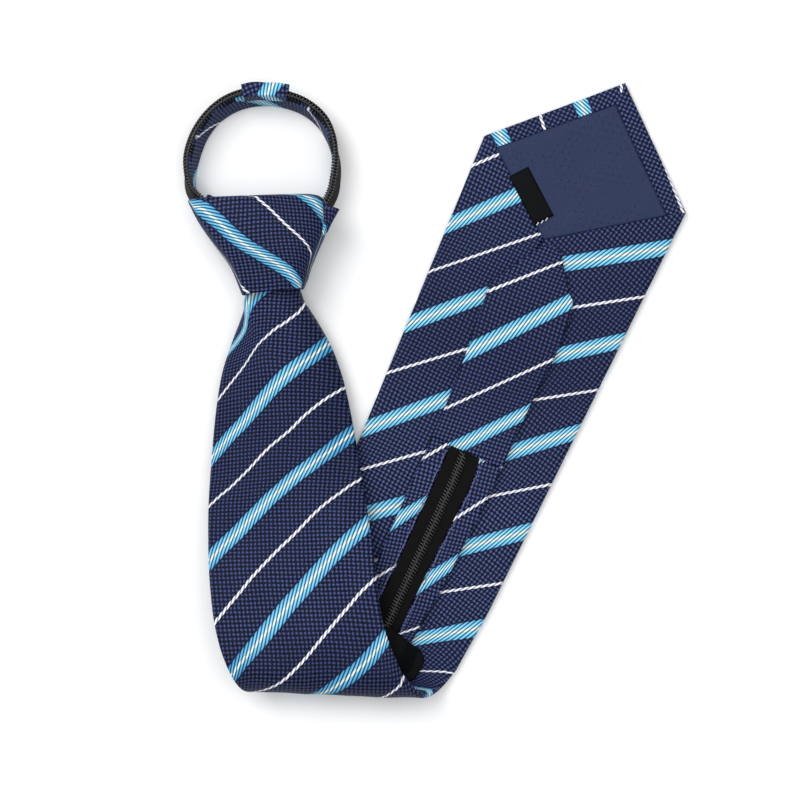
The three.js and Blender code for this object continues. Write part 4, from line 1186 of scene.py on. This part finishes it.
def build_knot():
    ups = np.concatenate([np.linspace(0, 0.9, 60), np.linspace(0.91, 1.0, 14)])
    sides = 120
    turn = np.linspace(0, 2 * math.pi, sides, endpoint=False)
    squarer = 0.62
    x, y = (np.sign(v) * np.abs(v) ** squarer for v in (np.cos(turn), np.sin(turn)))
    loops = []
    w, h, th = KNOT["width"], KNOT["height"], KNOT["thick"]
    for u in ups:
        v = {k: float(f(u)) for k, f in knot_cols.items()}
        across = w * (v["left"] + (v["right"] - v["left"]) * (x + 1) / 2)
        z = th * (v["back"] + (v["front"] - v["back"]) * (y + 1) / 2)
        loops.append(knot_point(across, h * u - v["slant"] * across, z))
    top, bottom = loops[-1], loops[0]
    for k in (0.8, 0.55, 0.3, 0.1):
        loops.append(top.mean(0) + (top - top.mean(0)) * k - np.array([0, 1.0, 0]) * (1 - k) * 1.5)
    pocket = bottom.mean(0)
    low = [pocket + (bottom - pocket) * k + np.array([-KNOT_SIN, KNOT_COS, 0]) * up for k, up in (
        (0.1, 4.4), (0.5, 4.4), (0.85, 4.2), (0.91, 3.6), (0.92, 1.5), (0.93, 0.4), (0.96, 0.0))]
    loops = low + loops

    # The cloth runs on over the knot's edges: down a wall, a place counts as farther out
    grid = np.array(loops)
    face = np.cross(np.roll(grid, -1, 1) - np.roll(grid, 1, 1), np.gradient(grid, axis=0))
    face /= np.maximum(np.linalg.norm(face, axis=2, keepdims=True), 1e-9)
    face *= np.sign((face * (grid - grid.mean((0, 1)))).sum(2, keepdims=True))
    wall = smooth((np.linalg.norm(face[..., :2], axis=2, keepdims=True) - 0.82) / 0.18)
    flat = (grid[..., :2] + face[..., :2] * wall * (grid[..., 2:].max() - grid[..., 2:])).reshape(-1, 2)
    return tube("knot_cloth", loops, SILK_KNOT_PAINTED_SHADE, {"fabric": KNOT_STRIPES(*knot_flat(flat[:, 0], flat[:, 1]))},
                nodes=["knot_wrap"], slot="striped_silk")


knot = build_knot()


# Outline of the under layer: its seen corners from the photo, the hidden ones in shares of the knot
UNDER_TURN = [(a * KNOT["width"], b * KNOT["height"]) for a, b in (
    (-0.397, 0.99), (-0.355, 1.068), (-0.25, 0.96), (0.17, 0.90), (0.14, 0.65), (-0.24, 0.84))]
UNDER_TURN[4:4] = [
    knot_place(*pixel) for pixel in ((326, 203.5), (339.5, 208.5), (333.5, 219), (327, 232), (319, 238))]
UNDER_LOW = 14.3
UNDER_SHIFT = -4.0              # how far its stripes lie off those of the knot
UNDER_ROUNDS = table(
    ("inset", "rise"), (1.6, 0.0), (0.6, 0.25), (0.1, 0.9), (0.0, 2.1), (0.1, 3.3), (0.6, 3.95), (1.6, 4.2))


def build_under():
    corners = np.array(UNDER_TURN)
    fine = np.array([a + (b - a) * s for a, b in zip(corners, np.roll(corners, -1, 0))
                     for s in np.linspace(0, 1, 8, endpoint=False)])
    mid = fine.mean(0)
    loops = []
    for row in UNDER_ROUNDS:
        ring = fine + (mid - fine) / np.linalg.norm(mid - fine, axis=1)[:, None] * row["inset"]
        loops.append(knot_point(ring[:, 0], ring[:, 1], UNDER_LOW + row["rise"]))
    places = knot_flat(*np.concatenate(loops)[:, :2].T)
    fabric = KNOT_STRIPES(*places) + np.array([UNDER_SHIFT, 0.0])
    return tube("knot_under_cloth", loops, SILK_KNOT_PAINTED_SHADE, {"fabric": fabric},
                nodes=["knot_under_turn"], slot="striped_silk")


under = build_under()


# Neck loop
LOOP_ROWS = table(
    ("across", "up", "lean", "flare"),
    (-0.340, -0.14, -14, 2.4), (-0.430, 0.000, -14, 2.8),
    (-0.485, 0.115, -12, 3.2), (-0.500, 0.225, -8, 3.6),
    (-0.490, 0.340, -3, 3.8), (-0.462, 0.460, 4, 3.6),
    (-0.422, 0.585, 8, 3.3), (-0.372, 0.715, 9, 3.2),
    (-0.291, 0.850, 10, 3.1), (-0.190, 0.945, 12, 3.0),
    (-0.080, 0.995, 13, 2.9), (0.041, 1.000, 13, 2.7),
    (0.180, 0.955, 12, 2.5), (0.310, 0.855, 12, 2.3),
    (0.409, 0.700, 11, 2.1), (0.462, 0.530, 6, 2.0),
    (0.486, 0.390, 0, 2.0), (0.493, 0.270, -5, 2.0),
    (0.482, 0.130, -8, 2.0), (0.455, -0.020, -10, 2.0),
    (0.395, -0.150, -10, 1.8), (0.320, -0.230, -10, 1.8),
)
LOOP_PTS = np.array([
    knot_point(row["across"] * LOOP["width"] + LOOP["middle"], LOOP["foot"] + row["up"] * LOOP["reach"], 0)
    for row in LOOP_ROWS])
for index, row in enumerate(LOOP_ROWS):
    row["share"] = index / (len(LOOP_ROWS) - 1)
loop_lean = curve(LOOP_ROWS, "share", "lean")
loop_flare = curve(LOOP_ROWS, "share", "flare")


def loop_at(t):
    """Centripetal curve through the loop's points."""
    n = len(LOOP_PTS)
    p = (n - 1) * min(max(t, 0.0), 1.0)
    i = min(int(math.floor(p)), n - 2)
    w = p - i
    p1, p2 = LOOP_PTS[i], LOOP_PTS[i + 1]
    p0 = LOOP_PTS[i - 1] if i > 0 else 2 * LOOP_PTS[0] - LOOP_PTS[1]
    p3 = LOOP_PTS[i + 2] if i + 2 < n else 2 * LOOP_PTS[-1] - LOOP_PTS[-2]
    d0, d1, d2 = (math.sqrt(np.linalg.norm(b - a)) for a, b in ((p0, p1), (p1, p2), (p2, p3)))
    t1 = ((p1 - p0) / d0 - (p2 - p0) / (d0 + d1) + (p2 - p1) / d1) * d1
    t2 = ((p2 - p1) / d1 - (p3 - p1) / (d1 + d2) + (p3 - p2) / d2) * d1
    return p1 + t1 * w + (-3 * p1 + 3 * p2 - 2 * t1 - t2) * w ** 2 + (2 * p1 - 2 * p2 + t1 + t2) * w ** 3


LOOP_SHARES = np.linspace(0, 1, 600)
steps = np.diff(np.array([loop_at(t) for t in LOOP_SHARES]), axis=0)
LOOP_RUNS = np.concatenate([[0], np.cumsum(np.linalg.norm(steps, axis=1))])
LOOP_LENGTH = LOOP_RUNS[-1]


def share_at(mm):
    return float(np.interp(mm, LOOP_RUNS, LOOP_SHARES))


def strip_point(share, out, height):
    foot = loop_at(share)
    run = loop_at(min(1, share + 1e-3)) - loop_at(max(0, share - 1e-3))
    run /= np.linalg.norm(run)
    lean = math.radians(float(loop_lean(share)))
    reach = out + height * math.sin(lean)
    return [foot[0] - run[1] * reach, foot[1] + run[0] * reach, height * math.cos(lean)]


NAPE = 11 / (len(LOOP_ROWS) - 1)
NAPE_MM = float(np.interp(NAPE, LOOP_SHARES, LOOP_RUNS))


def ribbon(name, from_mm, to_mm, section, material, step=1.0, uv=lambda mm, out, height: (mm, height), **kw):
    """A strip round the neck loop. section(mm) lists (out, height) round its section."""
    loops, coords = [], []
    for mm in np.arange(from_mm, to_mm, step).tolist() + [to_mm]:
        places = section(mm)
        loops.append([strip_point(share_at(mm), out, height) for out, height in places])
        coords += [uv(mm, out, height) for out, height in places]
    return tube(name, loops, material, {"fabric": np.array(coords)}, **kw)


def rounded(points, radius=0.25, steps=3):
    """Rounds the corners of a section."""
    pts = [np.array(p, float) for p in points]
    out = []
    n = len(pts)
    for i in range(n):
        a, b, c = pts[i - 1], pts[i], pts[(i + 1) % n]
        u, v = (a - b) / np.linalg.norm(a - b), (c - b) / np.linalg.norm(c - b)
        r = min(radius, np.linalg.norm(a - b) * 0.45, np.linalg.norm(c - b) * 0.45)
        for k in range(steps + 1):
            w = k / steps
            out.append(tuple(b + u * r * (1 - w) ** 2 + v * r * w ** 2))
    return out


def refine(points, step):
    """A closed line with more points on it."""
    out = []
    n = len(points)
    for i in range(n):
        a, b = np.array(points[i], float), np.array(points[(i + 1) % n], float)
        k = max(1, int(np.linalg.norm(b - a) / step))
        out += [tuple(a + (b - a) * j / k) for j in range(k)]
    return out


BAND_LEAN = math.radians(38)
BAND_STRETCH, BAND_SHIFT = 1.048, 6.3    # of its stripes, along the loop


def band_uv(mm, out, height):
    rel = (mm - NAPE_MM) * BAND_STRETCH - BAND_SHIFT
    s = rel * math.sin(BAND_LEAN) + height * math.cos(BAND_LEAN)
    t = rel * math.cos(BAND_LEAN) - height * math.sin(BAND_LEAN)
    return s, t


def band_section(mm):
    flare = float(loop_flare(share_at(mm)))
    return rounded([(-GAP, 0.05), (-GAP, 9.5), (-GAP - 1.6, 9.5), (-1.9 - (flare - 1.9) * 0.5, 4.5),
                    (-flare, 0.7), (-flare + 0.6, 0.05)], 0.5)


def tape_section(mm):
    low, high, out = 0.02, STRIP_HEIGHT - 0.6, 0.8
    return refine(rounded([(0, low), (out, low), (out, high), (0, high)], 0.2, 2), 2.5)


LOOP_END = 0.6                   # band and tapes start this far along the loop
band = ribbon("neck_band_cloth", LOOP_END, LOOP_LENGTH - LOOP_END, band_section, SILK, uv=band_uv,
              nodes=["neck_band"], slot="striped_silk")
neck_l, neck_r = (
    ribbon(f"neck_tape_{hand}_cloth", start, end, tape_section, TAPE,
           nodes=["neck_tape_" + hand], slot="zip_tape")
    for hand, start, end in (
        ("left", LOOP_END, NAPE_MM - 0.3), ("right", NAPE_MM + 0.3, LOOP_LENGTH - LOOP_END)))


def open_coil(name, from_mm, to_mm, node):
    """Half of the opened coil: its teeth hook over the upper edge of the tape."""
    parts = []
    top = STRIP_HEIGHT - 0.45
    for k in range(int((to_mm - from_mm) / TOOTH_PITCH)):
        share = share_at(from_mm + (k + 0.5) * TOOTH_PITCH)
        path = [strip_point(share, o, top + h) for o, h in (
            (0.75, -1.3), (0.72, -0.45), (0.35, 0.0), (-0.4, 0.0), (-1.15, -0.35),
            (-1.4, -1.0), (-1.1, -1.7))]
        parts.append(sweep(path, 0.3, 6))
    rows = np.arange(from_mm, to_mm, 1.2)
    parts.append(sweep([strip_point(share_at(mm), -0.45, top - 0.85) for mm in rows], 0.45, 8))
    return many(name, parts, COIL_PAINTED_GLINTS, nodes=[node], slot="nylon_coil")


open_coil("neck_coil_left_teeth", 1.0, NAPE_MM - 0.5, "neck_coil_left")
open_coil("neck_coil_right_teeth", NAPE_MM + 0.5, LOOP_LENGTH - 1.0, "neck_coil_right")

COVER_MM, COVER_HALF = NAPE_MM + 1.9, 8.1


def cover_section(mm):
    end = min(mm - (COVER_MM - COVER_HALF), COVER_MM + COVER_HALF - mm)
    puff = 0.35 * math.sin(math.pi * min(1.0, max(0.0, end / COVER_HALF)))
    out, into, top = 0.8 + GAP, -GAP - 2.0 - GAP, STRIP_HEIGHT + GAP
    wall, thin = 0.9 + puff * 0.6, 0.5
    lift = 0.9 * max(0.0, (mm - COVER_MM) / COVER_HALF) ** 2
    section = rounded([(out, 0.6), (out + wall, 0.6), (out + wall, top + wall), (into - thin, top + wall),
                       (into - thin, top - 5), (into, top - 5), (into, top), (out, top)], 0.5)
    return [(o + lift, h) for o, h in refine(section, 1.5)]


def cover_uv(mm, out, height):
    rel, rise, lean = mm - COVER_MM, out * 0.9 - height, math.radians(58)
    return (rel * math.sin(lean) - rise * math.cos(lean) - 9.5, rel * math.cos(lean) + rise * math.sin(lean))


cover = ribbon("nape_cover_cloth", COVER_MM - COVER_HALF, COVER_MM + COVER_HALF, cover_section, SILK,
               step=0.7,
               uv=cover_uv, nodes=["nape_cover"], slot="striped_silk")

# Stage, light, camera
bpy.ops.mesh.primitive_plane_add(size=6, location=(0, 0, -0.0002))
floor = bpy.context.object
floor.name = "floor"
g = Graph("pale_floor")
tone = g.mix(g.step(g.noise(3.0), 0.3, 0.7), (0.93, 0.93, 0.935, 1), (0.96, 0.96, 0.96, 1))
g.set(Base_Color=tone, Roughness=0.9, Specular_IOR_Level=0.1)
floor.data.materials.append(g.mat)

world = bpy.data.worlds.new("studio")
bpy.context.scene.world = world
world.use_nodes = True
bg = world.node_tree.nodes["Background"]
bg.inputs[0].default_value = (0.98, 0.99, 1.0, 1)
bg.inputs[1].default_value = 0.55


def softbox(name, where, size, power):
    light = bpy.data.lights.new(name, "AREA")
    light.shape = "RECTANGLE"
    light.size, light.size_y = size
    light.energy = power
    ob = bpy.data.objects.new(name, light)
    bpy.context.scene.collection.objects.link(ob)
    ob.location = where
    ob.rotation_euler = (-Vector(where)).to_track_quat("-Z", "Y").to_euler()


softbox("key", (-0.7, 0.65, 1.2), (0.8, 0.8), 11.0)
softbox("top", (0.1, 0.1, 1.7), (1.6, 1.6), 12.0)

cam = bpy.data.cameras.new("camera")
cam.sensor_width = 36
cam.lens = 36 * CAMERA_HEIGHT / (PHOTO_SIZE * PIXEL)
camera = bpy.data.objects.new("camera", cam)
bpy.context.scene.collection.objects.link(camera)
photo_middle = PHOTO_SIZE / 2
camera.location = ((SHIFT[0] + ANCHOR_PLACE[0] - (ANCHOR_PIXEL[0] - photo_middle) * PIXEL) / 1000,
                   (SHIFT[1] + ANCHOR_PLACE[1] - (photo_middle - ANCHOR_PIXEL[1]) * PIXEL) / 1000,
                   CAMERA_HEIGHT / 1000)
camera.rotation_euler = (0, 0, 0)
bpy.context.scene.camera = camera
scene = bpy.context.scene
scene.view_settings.view_transform = "Standard"
scene.view_settings.look = "None"
